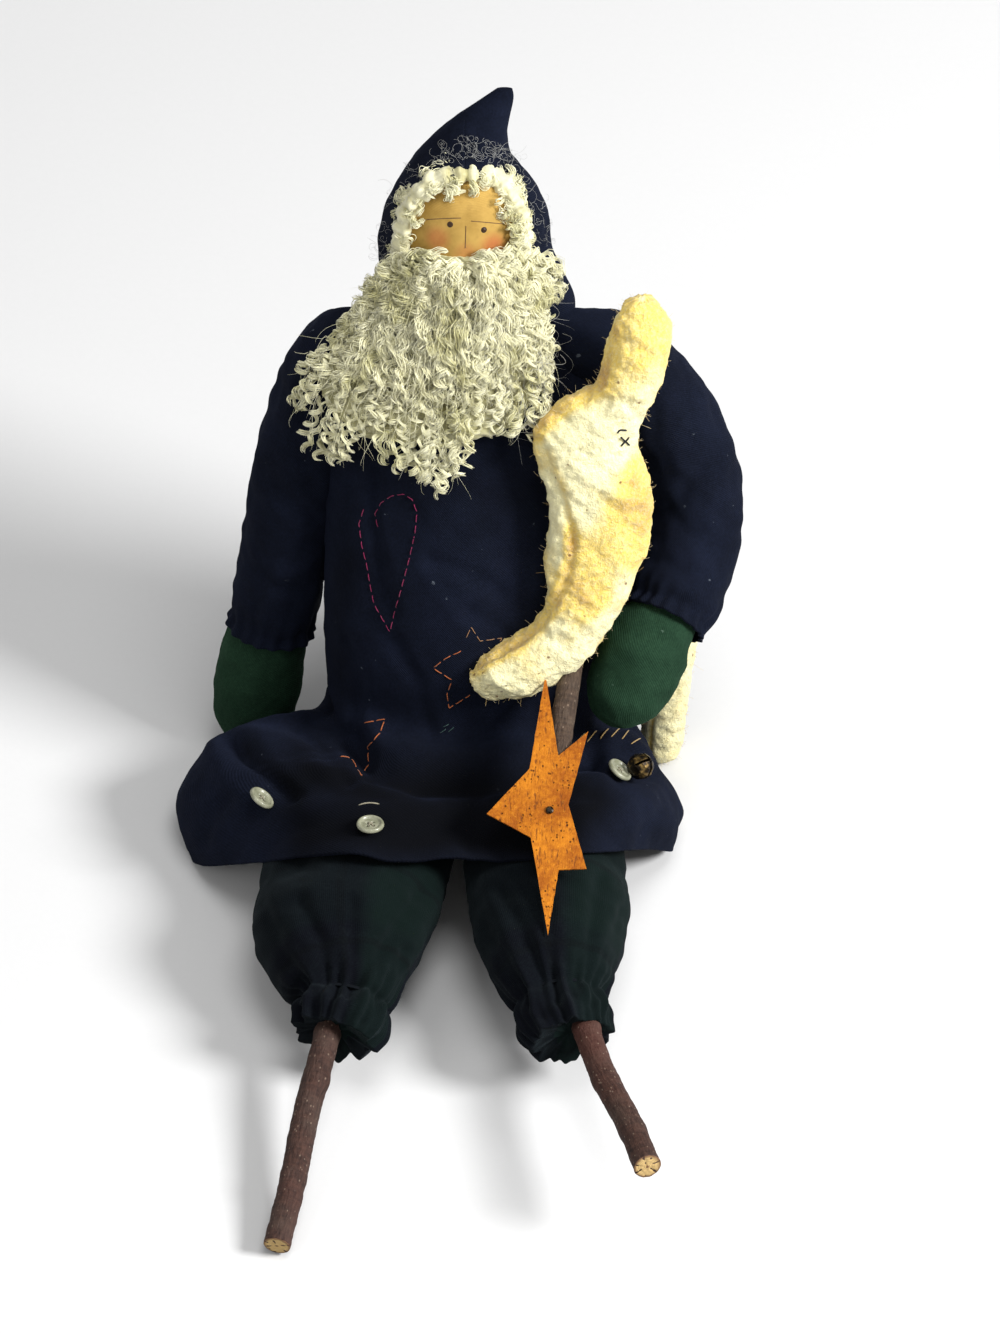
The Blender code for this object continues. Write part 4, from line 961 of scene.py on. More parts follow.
seatShape = {
    "halfWidth": 59, "halfDepth": 43, "around": 96, "steps": 50, "fill": 0.8,
    # flat rings with their share of the size and height, then leaned ones with height and both shares
    "flat": ((0.84, 0.4), (0.93, 2.5), (0.99, 9.0)),
    "leaned": ((22.0, 1.0, 1.0), (42.0, 1.02, 1.0), (61.7, 0.98, 0.96)),
}


# The seat of the pants: rings that rise from the flat patch that it sits on.
def makeSeat():
    turns = evenTurns(seatShape["around"])
    halfWidth, halfDepth = seatShape["halfWidth"], seatShape["halfDepth"]
    rings = []
    for part, height in seatShape["flat"]:
        rings.append(np.stack([halfWidth * part * np.sin(turns), 4 - halfDepth * part * np.cos(turns),
                               0 * turns + height], -1))
    for up, wide, deep in seatShape["leaned"]:
        rings.append(leaned(halfWidth * wide * np.sin(turns), 2 + halfDepth * deep * np.cos(turns), up))
    grid = between(np.array(rings), np.linspace(0, len(rings) - 1, seatShape["steps"]))
    seat = skin("pants_seat_cloth", grid, plaidFlannel)
    return handOver(seat, "pants_seat")


for side in ("left", "right"):
    makeLeg(side)
    makeTie(side)
makeSeat()
print("pants made")


# Twigs from start to end. A knot is a share of the length, a turn round the twig and a height.
twigShape = {
    "radius": 6.0, "around": 40, "steps": 150, "bumps": ((0.16, 12, 71, 1), (0.12, 5, 72, (3, 1, 1))),
    "knotAround": 3.6, "knotAlong": 4.2, "knotRing": 0.18,
    "left": ((-54.5, -142.0, 40.5), (-85.6, -299.7, 7.2)),
    "right": ((40.2, -145.4, 33.6), (82.8, -293.0, 53.0)),
    "leftKnots": ((0.46, 0.5, 1.3), (0.78, 2.2, 0.8), (0.3, 3.5, 0.8)),
    "rightKnots": ((0.36, 0.8, 1.3), (0.83, 5.6, 1.8), (0.6, 2.8, 0.8)),
}


# A twig: a slightly bent rod whose radius carries knots, each a bell-shaped swelling at a share of the length
# and a turn round it, and long ridges of bark. Its end is cut off square.
def makeTwig(name, node, start, end, radius, knots, bark, bend=(1.6, 0.0, 1.2)):
    start, end = np.array(start, float), np.array(end, float)
    share = np.linspace(0, 1, twigShape["steps"])
    sway = np.interp(share, [0, 0.28, 0.56, 0.8, 1], [0, 0.7, -0.6, 0.5, 0])
    sway = np.convolve(np.pad(sway, 12, mode="edge"), np.ones(25) / 25, mode="valid")
    centres = start + (end - start) * share[:, None] + np.array(bend) * sway[:, None]
    turns = evenTurns(twigShape["around"])
    girth = np.interp(share, [0, 0.28, 0.56, 0.8, 1], [0.97, 1.0, 1.04, 1.02, 1.06]) * radius
    grid = pathRings(centres, girth, girth, turns[None, :])
    normal = outFrom(grid, centres[:, None])
    length = np.linalg.norm(end - start)
    out = bumps(grid, twigShape["bumps"])
    for where, turn, size in knots:
        aside = np.abs((turns - turn + math.pi) % (2 * math.pi) - math.pi) * radius
        away = (share - where) * length
        out = out + size * np.exp(-(aside[None, :] / twigShape["knotAround"]) ** 2
                                  - (away[:, None] / twigShape["knotAlong"]) ** 2)
        out = out + twigShape["knotRing"] * size * np.exp(-(away[:, None] / 3.0) ** 2)
    grid = grid + normal * out[..., None]
    twig = skin(name, grid, bark)
    handOver(twig, node)
    makeCutEnd(name + "_cut", grid[-1], centres[-1] - centres[-2])


cutCracks = ((0.3, 0.2), (1.2, 0.55), (1.95, 0.1), (2.9, 0.45), (3.6, 0.25), (4.6, 0.6), (5.5, 0.15))


# The cut end: rings that shrink from the bark's last ring to its middle, slightly rough. Its cracks are each
# a turn and how near the middle they reach.
def makeCutEnd(name, rim, outward):
    outward = outward / np.linalg.norm(outward)
    middle = rim.mean(0)
    share = np.linspace(1.0, 0.03, 14)
    grid = middle + (rim - middle)[None] * share[:, None, None]
    turns = evenTurns(rim.shape[0])
    crack = np.zeros((len(share), len(turns)))
    for turn, reach in cutCracks:
        gap = np.abs((turns - turn + math.pi) % (2 * math.pi) - math.pi)
        crack = np.maximum(crack, np.exp(-(gap[None, :] * share[:, None] * 6 / 0.42) ** 2)
                           * smoothStep(share, reach, reach + 0.3)[:, None])
    lift = 0.25 + 0.22 * lumps(grid, 2.2, 75) - 0.45 * crack
    lift[0] = 0.05
    grid = grid + outward * lift[..., None]
    finish = cutFinish(name, middle, float(np.linalg.norm(rim - middle, axis=1).mean()))
    back = middle - outward * 0.6 + (rim - middle)[None] * np.array([0.5, 0.97])[:, None, None]
    end = skin(name, np.concatenate([back, grid]), finish)
    return handOver(end)


for side in ("left", "right"):
    makeTwig(side + "_twig", side + "_twig_leg", *twigShape[side], twigShape["radius"],
             twigShape[side + "Knots"], redBark)
print("twigs made")


# The moon. Each row is the left and the right end of its outline, across and up in the torso's frame.
# Creases and stains are lines in the picture, with a depth and a width.
moonShape = {
    "thick": 13.5, "low": 54.0, "high": 40.0, "around": 120, "steps": 220, "fill": 0.8,
    "bumps": ((0.7, 13, 81, 1), (0.45, 5, 82, 1), (0.3, 2.0, 83, 1)), "capSteps": (0.25, 0.5, 0.75, 0.92),
    "rows": ((72.2, 278.6, 89.6, 278.2), (69.0, 271.6, 93.2, 272.6), (65.8, 261, 94.8, 263),
             (62.1, 245.3, 91.5, 245.8), (58, 237.2, 87.4, 234.6), (46, 232.1, 82.8, 225),
             (35, 221.9, 79.6, 214.3), (31.7, 212.3, 79.6, 207.2), (34.5, 197, 84.2, 196),
             (38.6, 180.7, 86.5, 181.8), (38.2, 161.4, 85.1, 161.4), (36.3, 148.7, 80.5, 148.2),
             (38.2, 136, 74.5, 131.9), (35.9, 124.8, 64.9, 114.1), (28, 115.2, 55.7, 100.9),
             (15.2, 106.5, 42.3, 89.8), (6.9, 99.9, 28.5, 83.1), (3.2, 94.3, 14.7, 81.1)),
    "ends": ((81, 283.2), (4.2, 86.5)),
    "creases": [
        ([(540, 440), (553, 482), (567, 512), (573, 535), (572, 560), (562, 592), (545, 618), (524, 640),
          (494, 656), (476, 668)], -1.7, 4),
        ([(536, 432), (553, 413), (574, 398), (594, 391)], 1.1, 6),
        ([(606, 405), (585, 420), (560, 428)], -1.3, 9),
        ([(628, 405), (640, 420), (650, 432)], -1.4, 8), ([(575, 470), (600, 480), (625, 500)], 1.0, 10),
        ([(570, 530), (600, 495), (612, 468)], -0.9, 6), ([(612, 340), (640, 352), (664, 360)], -0.8, 9),
        ([(560, 640), (590, 640), (612, 622)], -0.8, 8),
    ],
    "stains": [
        ([(630, 488), (612, 520), (598, 556), (590, 590)], 0.85, 27),
        ([(645, 470), (646, 510), (636, 560)], 0.45, 12),
        ([(536, 432), (553, 413), (574, 398), (600, 384)], 0.85, 9),
        ([(640, 310), (650, 330), (640, 360)], 0.50, 24), ([(616, 330), (606, 372)], 0.6, 9),
        ([(572, 540), (566, 585), (548, 616), (520, 642), (480, 664)], 0.85, 9),
        ([(552, 455), (566, 500), (572, 530)], 0.45, 8), ([(600, 600), (560, 650), (510, 680)], 0.12, 14),
        ([(585, 440), (590, 470), (580, 500)], -0.55, 26), ([(545, 490), (556, 520), (558, 560)], -0.4, 9),
        ([(624, 420), (612, 450)], -0.35, 18), ([(610, 620), (570, 660), (500, 684)], -0.25, 15),
    ],
    "eye": (((621, 437), (629, 445)), ((629, 437), (621, 446)), ((617, 433), (620, 430), (626, 430))),
}


# The moon: across each row an oval as wide as the outline and as thick as the filling allows, with both ends
# rounded off, felted lumps all over, and the seam among the creases.
def makeMoon():
    rows = np.array(moonShape["rows"], float)
    place = np.linspace(0, len(rows) - 1, moonShape["steps"])
    ends = between(rows, place)
    middle, half = (ends[:, :2] + ends[:, 2:]) / 2, (ends[:, 2:] - ends[:, :2]) / 2
    size = np.linalg.norm(half, axis=1)
    thick = np.minimum(0.94 * size, moonShape["thick"])
    low, high = rows[-1, 1], rows[0, 1]
    part = np.clip((middle[:, 1] - low) / (high - low), 0, 1)
    forward = moonShape["low"] + (moonShape["high"] - moonShape["low"]) * part
    parts = [middle, half, thick, forward]
    for end, tip in zip((0, -1), moonShape["ends"]):
        caps = []
        for share in moonShape["capSteps"]:
            shrink = math.sqrt(1 - share ** 2)
            middle, half, thick, forward = (part[end] for part in parts)
            caps.append((middle + (np.array(tip) - middle) * share, half * shrink, thick * shrink, forward))
        if end == 0:
            parts = [np.concatenate([cap, part]) for cap, part in zip(map(np.array, zip(*caps[::-1])), parts)]
        else:
            parts = [np.concatenate([part, cap]) for cap, part in zip(map(np.array, zip(*caps)), parts)]
    middle, half, thick, forward = parts
    turns = evenTurns(moonShape["around"])
    flat = middle[:, None] + half[:, None] * np.cos(turns)[None, :, None]
    puff = np.sign(np.sin(turns)) * np.abs(np.sin(turns)) ** 0.85
    grid = leaned(flat[..., 0], forward[:, None] + thick[:, None] * puff, flat[..., 1])
    normal = outwardNormals(grid, leaned(middle[:, 0], forward, middle[:, 1])[:, None])
    edge = np.abs(np.cos(turns))[None, :] ** 4 * np.ones((len(middle), 1))
    spots = inPicture(grid)
    facing = facingSight(normal, 0.3)
    out = bumps(grid, moonShape["bumps"]) + facing * creased(spots, moonShape["creases"])
    grid = grid + normal * out[..., None]
    moon = skin("stuffed_moon", grid, batting)
    tips = np.maximum(0, 1 - np.arange(len(middle)) / 40)[:, None]
    stain = 0.05 + 0.3 * edge + 0.25 * tips + 0.2 * lumps(grid, 30, 84)
    for line, depth, width in moonShape["stains"]:
        stain = stain + depth * nearLine(spots, line, width) * (facing * 0.6 + 0.4)
    paint(moon, "stain", np.clip(stain, 0, 1))
    handOver(moon, "moon")
    makeNap("moon_nap", grid, normal, 900, 85)
    return moon


# Nap: short thin hairs that stand on a surface. Each leans over and curls as it rises.
def makeNap(name, grid, normal, count, seed):
    draw = np.random.default_rng(seed)
    pick = (draw.integers(3, len(grid) - 3, count), draw.integers(0, grid.shape[1], count))
    base, up = grid[pick], normal[pick]
    aside, curl = (draw.normal(0, 1, (count, 1, 3)) for _ in range(2))
    t = np.linspace(0, 1, 7)[None, :, None]
    length = draw.uniform(0.8, 2.6, (count, 1, 1))
    path = base[:, None] + (up[:, None] * (t - 0.1) + aside * 0.45 * t + curl * 0.5 * t ** 2) * length
    path[..., 2] = np.maximum(path[..., 2], 0.3)
    hairs = strands(name, path, np.full((count, 7), 0.06), napHair, 3)
    return handOver(hairs)


rollShape = {
    "around": 72, "steps": 90, "fill": 0.8, "bumps": ((0.5, 8, 91, 1), (0.25, 3, 92, 1)),
    "seamAt": 4.1, "seamWidth": 0.12, "seamDepth": 0.9,
    "rows": ((92.2, 20, 1.6, 5, 5), (92.4, 20, 5, 8.6, 8.6), (92.8, 20, 16, 10.2, 10.2),
             (93.6, 19.5, 34, 10.6, 10.6), (95.2, 18.5, 56, 11, 11), (97, 17, 78, 11, 11),
             (98.4, 15.5, 92, 9.5, 9.5), (99, 15, 98, 6, 6)),
}


# The roll behind the mitten: rings along a short path, with one seam down its front.
def makeRoll():
    rows = between(rollShape["rows"], np.linspace(0, 7, rollShape["steps"]))
    turns = evenTurns(rollShape["around"])
    grid = pathRings(rows[:, :3], rows[:, 3], rows[:, 4], turns[None, :])
    normal = outFrom(grid, rows[:, None, :3])
    seam = np.exp(-((turns - rollShape["seamAt"]) / rollShape["seamWidth"]) ** 2)
    out = bumps(grid, rollShape["bumps"]) - rollShape["seamDepth"] * seam
    grid = grid + normal * out[..., None]
    roll = skin("batting_roll", grid, batting)
    paint(roll, "stain", np.clip(0.6 * np.tile(seam, (len(rows), 1)) + 0.05, 0, 1))
    handOver(roll, "toy_roll")
    makeNap("roll_nap", grid, normal, 260, 95)
    return roll


moon = makeMoon()
makeRoll()
print("moon and roll made")


# The star: where its nail is, the slope it lies on, and its outline across and up from the nail.
starShape = {
    "nail": (39.0, -100.1, 86.1), "slope": 20.8, "thick": 0.9, "warp": 0.25,
    "outline": ((-1.8, 69.1), (4.1, 27.7), (17.9, 39.9), (8.7, 3.0), (17.0, -29.3), (4.1, -29.8),
                (-0.9, -62.6), (-8.7, -13.6), (-29.0, -1.5), (-9.2, 21.2)),
}
slope = math.radians(starShape["slope"])
starUp = np.array([0, math.cos(slope), math.sin(slope)])
starOut = np.cross([1.0, 0.0, 0.0], starUp)
nailPlace = np.array(starShape["nail"])


# The star: the outline in short steps, shrunk in rings towards its middle for the face, and dropped by the
# tin's thickness for the back.
def makeStar():
    outline = np.array(starShape["outline"])
    place = np.arange(len(outline) * 14) / 14
    first = place.astype(int)
    edge = outline[first] + (outline[(first + 1) % len(outline)] - outline[first]) * (place - first)[:, None]
    edge = edge + 0.12 * np.stack([lumps(np.pad(edge, ((0, 0), (0, 1))), 3, seed) for seed in (101, 102)], -1)
    share = np.linspace(0.02, 1, 26)
    front = edge[None] * share[:, None, None]
    level = 0.5 * starShape["thick"]
    flat = np.concatenate([front, front[::-1]])
    lift = np.concatenate([np.full(len(share), level), np.full(len(share), -level)])[:, None]
    lift = lift + starShape["warp"] * lumps(np.pad(flat, ((0, 0), (0, 0), (0, 1))), 60, 103)
    grid = nailPlace + flat[..., :1] * sightRight + flat[..., 1:] * starUp + lift[..., None] * starOut
    star = skin("tin_star", grid, rustyTin)
    star.data.polygons.foreach_set("use_smooth", np.zeros(len(star.data.polygons), bool))
    return handOver(star, "rusty_star")


stickShape = {
    "radius": 5.2, "length": 98.0, "under": 5.7, "past": 6.5, "aside": 0.6, "slant": 0.13,
    "knots": ((0.35, 1.0, 0.7), (0.62, 4.0, 0.6)), "bend": (0.5, 0.0, 0.0),
}


# The stick under the star: from just past its nail up the slope, a little slanted.
def makeStick():
    shape = stickShape
    under = starShape["thick"] / 2 + shape["under"]
    foot = nailPlace - starOut * under - starUp * shape["past"] - sightRight * shape["aside"]
    way = starUp + sightRight * shape["slant"]
    way = way / np.linalg.norm(way)
    makeTwig("star_twig", "star_stick", foot, foot + way * shape["length"], shape["radius"], shape["knots"],
             greyBark, shape["bend"])


makeStar()
makeStick()
print("star made")


# Hair fringe and beard are mats of felted wool under curled locks. The arch is across and up from the
# middle of the head.
fringeShape = {
    "arch": ((-29, -14), (-28.5, 1), (-25, 16), (-14.5, 28), (-1, 32.5), (12, 30.5), (20, 23), (25, 12),
             (26, 0), (27, -12)),
    "radius": 6.2, "matSteps": 120, "around": 48, "bumps": ((0.9, 6, 111, 1), (0.4, 2.5, 112, 1)),
    "curls": 150, "steps": 16, "ply": 12, "seed": 5, "thick": 0.21, "spread": 0.95,
}


# A point on the face of the head, lifted off it: the oval ball's depth at that place across and up.
def onHead(across, rise, lift):
    level = 1 - (across / headShape["wide"]) ** 2 - (rise / headShape["high"]) ** 2
    forward = headShape["deep"] * np.sqrt(np.maximum(level, 0.05)) + lift
    return leaned(across, forward, headShape["centre"] + rise)


# Ringlets: a soft bundle of strands winds round each lock's middle line as a flattened screw. Each strand
# lags a little behind the one before, and wanders from the bundle by the spread.
def ringlets(name, middle, swing, pitch, ply, lag, thick, draw, spread):
    count, steps = middle.shape[:2]
    out = leaned(0.0, 1.0, 0.0)
    along = np.gradient(middle, axis=1)
    size = np.linalg.norm(along, axis=-1)
    reach = np.cumsum(size, axis=1)
    along = along / np.maximum(size, 1e-6)[..., None]
    side = np.cross(along, out)
    side /= np.maximum(np.linalg.norm(side, axis=-1, keepdims=True), 1e-6)
    top = np.cross(side, along)
    t = np.linspace(0, 1, steps)[None, :]
    hand = draw.choice([-1.0, 1.0], (count, 1))
    uneven = 0.7 * np.sin(reach / draw.uniform(5, 11, (count, 1)) + draw.uniform(0, 6, (count, 1)))
    fuller = 0.45 + 0.55 * smoothStep(t, 0, 0.35)
    turn = hand * (2 * math.pi * reach / pitch + uneven) + draw.uniform(0, 2 * math.pi, (count, 1))
    paths, radii = [], []
    for n in range(ply):
        part = n / (ply - 1) - 0.5
        grow = swing * (1 + 0.13 * draw.normal(0, 1, (count, 1))) * fuller
        angle = turn + part * lag + 0.25 * draw.normal(0, 1, (count, 1))
        away = draw.normal(0, 1, (2, count, 1)) * spread * (0.4 + 0.6 * np.sin(math.pi * t) ** 0.5)
        stray = 0.35 * spread * np.sin(reach / draw.uniform(1.6, 4.0, (2, count, 1))
                                       + draw.uniform(0, 6, (2, count, 1)))
        across = grow * np.cos(angle) + away[0] + stray[0]
        rise = 0.75 * grow * np.sin(angle) + 0.6 * away[1] + stray[1]
        paths.append(middle + side * across[..., None] + top * rise[..., None] + along * (part * 1.2))
        taper = np.sqrt(np.clip(1.04 - t ** 4, 0.04, 1)) * smoothStep(t, -0.08, 0.05)
        radii.append(thick * draw.uniform(0.7, 1.2, (count, 1)) * taper)
    locks = strands(name, np.concatenate(paths), np.maximum(np.concatenate(radii), 0.07), fleece, 3)
    return handOver(locks)


# The fringe's mat: a lumpy roll along the arch, pressed against the head.
def makeFringe():
    steps = fringeShape["matSteps"]
    arch = between(fringeShape["arch"], np.linspace(0, 9, steps))
    centres = onHead(arch[:, 0], arch[:, 1], 0.5)
    turns = evenTurns(fringeShape["around"])
    girth = fringeShape["radius"] * (0.92 + 0.12 * np.cos(1.1 * np.arange(steps)))
    grid = pathRings(centres, girth, girth * 0.8, turns[None, :], guide=tuple(leaned(0.0, 1.0, 0.0)))
    normal = outwardNormals(grid, centres[:, None])
    grid = grid + normal * bumps(grid, fringeShape["bumps"])[..., None]
    fringe = skin("fringe_mat", grid, fleecePale)
    return handOver(fringe, "hair_fringe")


# Curls of the fringe: short ringlets, each along an arc that starts in the mat and turns over the face.
def makeFringeCurls():
    shape = fringeShape
    draw = np.random.default_rng(shape["seed"])
    count, steps = shape["curls"], shape["steps"]
    place = np.sort(draw.uniform(0, 9, count))
    where = between(shape["arch"], place)
    inward = -where / np.maximum(np.linalg.norm(where, axis=1, keepdims=True), 1e-6)
    sideways = np.stack([-inward[:, 1], inward[:, 0]], -1)
    first = draw.uniform(-7.5, 2.5, (count, 1))
    begin = where + inward * first
    t = np.linspace(0, 1, steps)[None, :]
    bend = draw.uniform(-1.0, 1.0, (count, 1)) * 1.6
    length = draw.uniform(4.0, 7.0, (count, 1))
    heading = draw.uniform(-1.6, 1.6, (count, 1)) + bend * t
    go = np.cumsum(np.stack([np.cos(heading), np.sin(heading)], -1), axis=1) * (length / steps)[..., None]
    spots = begin[:, None] + inward[:, None] * go[..., :1] + sideways[:, None] * go[..., 1:]
    off = np.clip((first + go[..., 0]) / shape["radius"], -1, 1)
    lift = 0.9 + 0.8 * shape["radius"] * np.sqrt(1 - off ** 2) * 0.95 + draw.uniform(-0.4, 1.0, (count, 1))
    middle = onHead(spots[..., 0], spots[..., 1], lift)
    swing, pitch, lag = (draw.uniform(*limits, (count, 1)) for limits in ((0.7, 1.6), (4.8, 8.0), (0.6, 1.4)))
    ringlets("fringe_curls", middle, swing, pitch, shape["ply"], lag, shape["thick"], draw, shape["spread"])


beardShape = {
    "matSteps": 140, "around": 160, "narrower": 0.94, "flatter": 0.7,
    "bumps": ((1.0, 8, 121, 1), (0.5, 3.5, 122, 1)),
    # each row: a drop below the head's middle, left and right ends, how far forward, its fall at the sides and
    # its thickness; rows for the face that the locks lie on, mat for the felt under them
    "rows": ((2, -23, 14, 31, 14, 2.5), (7, -35, 37, 32, 17, 6), (19, -45, 44, 33, 14, 8.5),
             (35, -50, 44, 35, 11, 9.5), (51, -66, 40, 38, 8, 9.5), (65, -77, 40, 40, 6, 9.5),
             (81, -77, 39, 42, 5.5, 9), (95, -71, 36, 44, 5, 8), (105, -48, 24, 47, 5, 6),
             (113, -25, 0, 50, 4, 3.5)),
    "mat": ((2, -23, 14, 31, 14, 2.5), (7, -35, 36, 32, 17, 6), (19, -44, 41, 33, 14, 8.5),
            (33, -47, 40, 35, 11, 9), (46, -57, 37, 38, 8, 8.5), (58, -66, 36, 40, 6, 8),
            (68, -70, 35, 42, 5.5, 7), (77, -68, 31, 44, 5, 6), (85, -60, 22, 46, 5, 4.5),
            (91, -46, 0, 47, 4, 3)),
    # lines that the locks follow in the picture, from the cheeks down, from the left round to the right
    "flow": (((390, 272), (352, 318), (302, 352)), ((396, 275), (338, 345), (297, 398)),
             ((404, 275), (345, 372), (306, 446)), ((412, 275), (362, 378), (334, 462)),
             ((420, 272), (384, 380), (361, 461)), ((430, 270), (405, 385), (387, 460)),
             ((441, 268), (423, 392), (411, 478)), ((452, 268), (440, 392), (441, 490)),
             ((466, 268), (456, 388), (461, 474)), ((480, 268), (474, 368), (469, 434)),
             ((494, 268), (494, 362), (491, 431)), ((508, 268), (517, 362), (515, 438)),
             ((522, 268), (538, 352), (535, 440)), ((530, 268), (549, 340), (548, 408))),
    # the same for the curls that run sideways over the mouth
    "lip": (((456, 258), (424, 256), (392, 262), (368, 280)), ((464, 262), (428, 266), (392, 276), (366, 298)),
            ((462, 270), (430, 280), (396, 292), (378, 312)), ((462, 280), (440, 296), (408, 316), (376, 340))),
    "lipRight": (((474, 258), (504, 255), (534, 252), (560, 272)),
                 ((470, 262), (504, 262), (538, 262), (566, 292)),
                 ((470, 270), (500, 276), (530, 280), (552, 300)),
                 ((472, 280), (496, 296), (522, 316), (546, 340))),
}


# How far forward the beard's face lies at a drop below the head's middle and a distance across.
def matForward(drop, across):
    rows = np.array(beardShape["rows"], float)
    found = between(rows, np.interp(drop, rows[:, 0], np.arange(len(rows))))
    left, right, forward, fall, thick = np.moveaxis(found, -1, 0)[1:]
    span = np.clip((across - (left + right) / 2) / ((right - left) / 2), -1, 1)
    rise = thick * np.sqrt(np.maximum(1 - span ** 2, 0.0)) * beardShape["flatter"]
    return forward - fall * (across / 40) ** 2 + rise


# The beard's mat: an oval across each row, pressed flat, with lumps, in fleece darkened as painted shade
# between the locks.
def makeBeard():
    rows = between(beardShape["mat"], np.linspace(0, 9, beardShape["matSteps"]))
    drop, left, right, forward, fall, thick = rows.T[..., None]
    turns = evenTurns(beardShape["around"])
    across = (left + right) / 2 + beardShape["narrower"] * ((right - left) / 2) * np.cos(turns)
    depth = forward - fall * (across / 40) ** 2 + beardShape["flatter"] * thick * np.sin(turns)
    grid = leaned(across, depth, headShape["centre"] - drop)
    normal = outwardNormals(grid, grid.mean(1, keepdims=True))
    grid = grid + normal * bumps(grid, beardShape["bumps"])[..., None]
    beard = skin("beard_mat", grid, fleeceMatShade)
    return handOver(beard, "beard")


# Places in the picture along guide lines: the cubic both from guide to guide and along each guide.
def alongGuides(guides, which, share):
    lines = between(np.array(guides, float), which)
    count = lines.shape[-2]
    place = share * (count - 1)
    first = np.clip(np.floor(place).astype(int), 0, count - 2)
    part = (place - first)[..., None]
    near = (np.clip(first + k, 0, count - 1)[..., None] for k in (-1, 0, 1, 2))
    return cubic(*(np.take_along_axis(lines, k, axis=-2) for k in near), part)


# Places in the picture set on the beard's face, lifted off it. Each pass corrects how far forward that is.
def onBeard(spots, lift):
    forward = np.full(spots.shape[:2], 40.0)
    for _ in range(5):
        across, up = onPlane(spots, forward)
        forward = matForward(headShape["centre"] - up, across) + lift
    return leaned(across, forward, up)


# The beard's locks: each takes a part of the flow, strays from it a little, and winds as a ringlet. Tips is the
# share of the locks that end where the flow ends. Starts and lengths are shares of the flow.
locks = {
    "beard_under": {
        "guides": "flow", "count": 46, "seed": 7, "starts": (0.0, 0.55), "lengths": (0.32, 0.48), "tips": 0.5,
        "lift": (-0.8, 0.6), "swing": (1.6, 2.6), "pitch": (5.6, 8.2), "lag": (1.0, 1.7),
        "ply": 10, "steps": 56, "spread": 0.42, "thick": 0.27},
    "beard_over": {
        "guides": "flow", "count": 56, "seed": 8, "starts": (0.10, 0.62), "lengths": (0.26, 0.42), "tips": 0.35,
        "lift": (1.0, 2.6), "swing": (1.4, 2.5), "pitch": (5.4, 8.4), "lag": (0.7, 1.4),
        "ply": 11, "steps": 51, "spread": 0.5, "thick": 0.25},
    "beard_top": {
        "guides": "flow", "count": 105, "seed": 21, "starts": (-0.02, 0.3), "lengths": (0.2, 0.36), "tips": 0.0,
        "lift": (1.6, 4.0), "swing": (0.8, 1.9), "pitch": (8.5, 14.0), "lag": (0.5, 1.1),
        "ply": 15, "steps": 20, "spread": 1.0, "thick": 0.21},
    "beard_soft": {
        "guides": "flow", "count": 115, "seed": 22, "starts": (0.0, 0.52), "lengths": (0.14, 0.26), "tips": 0.1,
        "lift": (1.4, 4.2), "swing": (0.8, 2.2), "pitch": (7.5, 12.0), "lag": (0.5, 1.1),
        "ply": 14, "steps": 19, "spread": 0.9, "thick": 0.21},
    "lip_locks": {
        "guides": "lip", "count": 42, "seed": 9, "starts": (-0.02, 0.4), "lengths": (0.35, 0.62), "tips": 0.35,
        "lift": (1.2, 4.2), "swing": (1.2, 2.5), "pitch": (6.5, 11.0), "lag": (0.6, 1.3),
        "ply": 13, "steps": 36, "spread": 0.8, "thick": 0.22},
}
locks["lip_locks_right"] = {**locks["lip_locks"], "guides": "lipRight", "seed": 10}


def makeLocks(name, lock):
    draw = np.random.default_rng(lock["seed"])
    guides, count = beardShape[lock["guides"]], lock["count"]
    which = (np.arange(count) + draw.uniform(0, 1, count)) / count * (len(guides) - 1)
    length = draw.uniform(*lock["lengths"], count)
    start = draw.uniform(*lock["starts"], count)
    start = np.where(draw.uniform(0, 1, count) < lock["tips"], 1.02 - length, start)
    start = np.minimum(start, 1.02 - length)
    t = np.linspace(0, 1, lock["steps"])[None, :]
    spots = alongGuides(guides, which, np.clip(start[:, None] + length[:, None] * t, -0.03, 1.03))
    spots = spots + draw.normal(0, 2.5, (count, 1, 2))
    sway = draw.uniform(1.5, 4.5, (count, 1)) * np.sin(draw.uniform(3, 7, (count, 1)) * t
                                                       + draw.uniform(0, 6, (count, 1)))
    spots = spots + sway[..., None] * np.array([0.9, -0.3])
    lift = draw.uniform(*lock["lift"], (count, 1)) + 1.6 * np.sin(math.pi * t)
    lift = lift + 2.2 * lumps(onBeard(spots, 0.0), 13, 61)
    middle = onBeard(spots, lift)
    swing, pitch, lag = (draw.uniform(*lock[key], (count, 1)) for key in ("swing", "pitch", "lag"))
    ringlets(name, middle, swing, pitch, lock["ply"], lag, lock["thick"], draw, lock["spread"])


# Loose hairs: single thin strands near the flow, which stray from it by smooth random amounts.
def makeHairs(name, guides, count, seed, lengths, stray, thick, finish, lifts):
    draw = np.random.default_rng(seed)
    steps = 26
    which = draw.uniform(0, len(guides) - 1, count)
    length = draw.uniform(*lengths, count)
    start = draw.uniform(0, 1, count) * (1.06 - length)
    t = np.linspace(0, 1, steps)[None, :]
    spots = alongGuides(guides, which, np.clip(start[:, None] + length[:, None] * t, 0, 1.06))
    bend = draw.normal(0, stray, (count, 1, 2)) * t[..., None]
    wave = draw.normal(0, stray * 0.8, (count, 1, 2))
    bend = bend + wave * np.sin(draw.uniform(2, 7, (count, 1)) * t + draw.uniform(0, 6, (count, 1)))[..., None]
    middle = onBeard(spots + bend, draw.uniform(*lifts, (count, 1)))
    hairs = strands(name, middle, thick * np.ones((count, steps)) * (1.2 - t), finish, 3)
    return handOver(hairs)


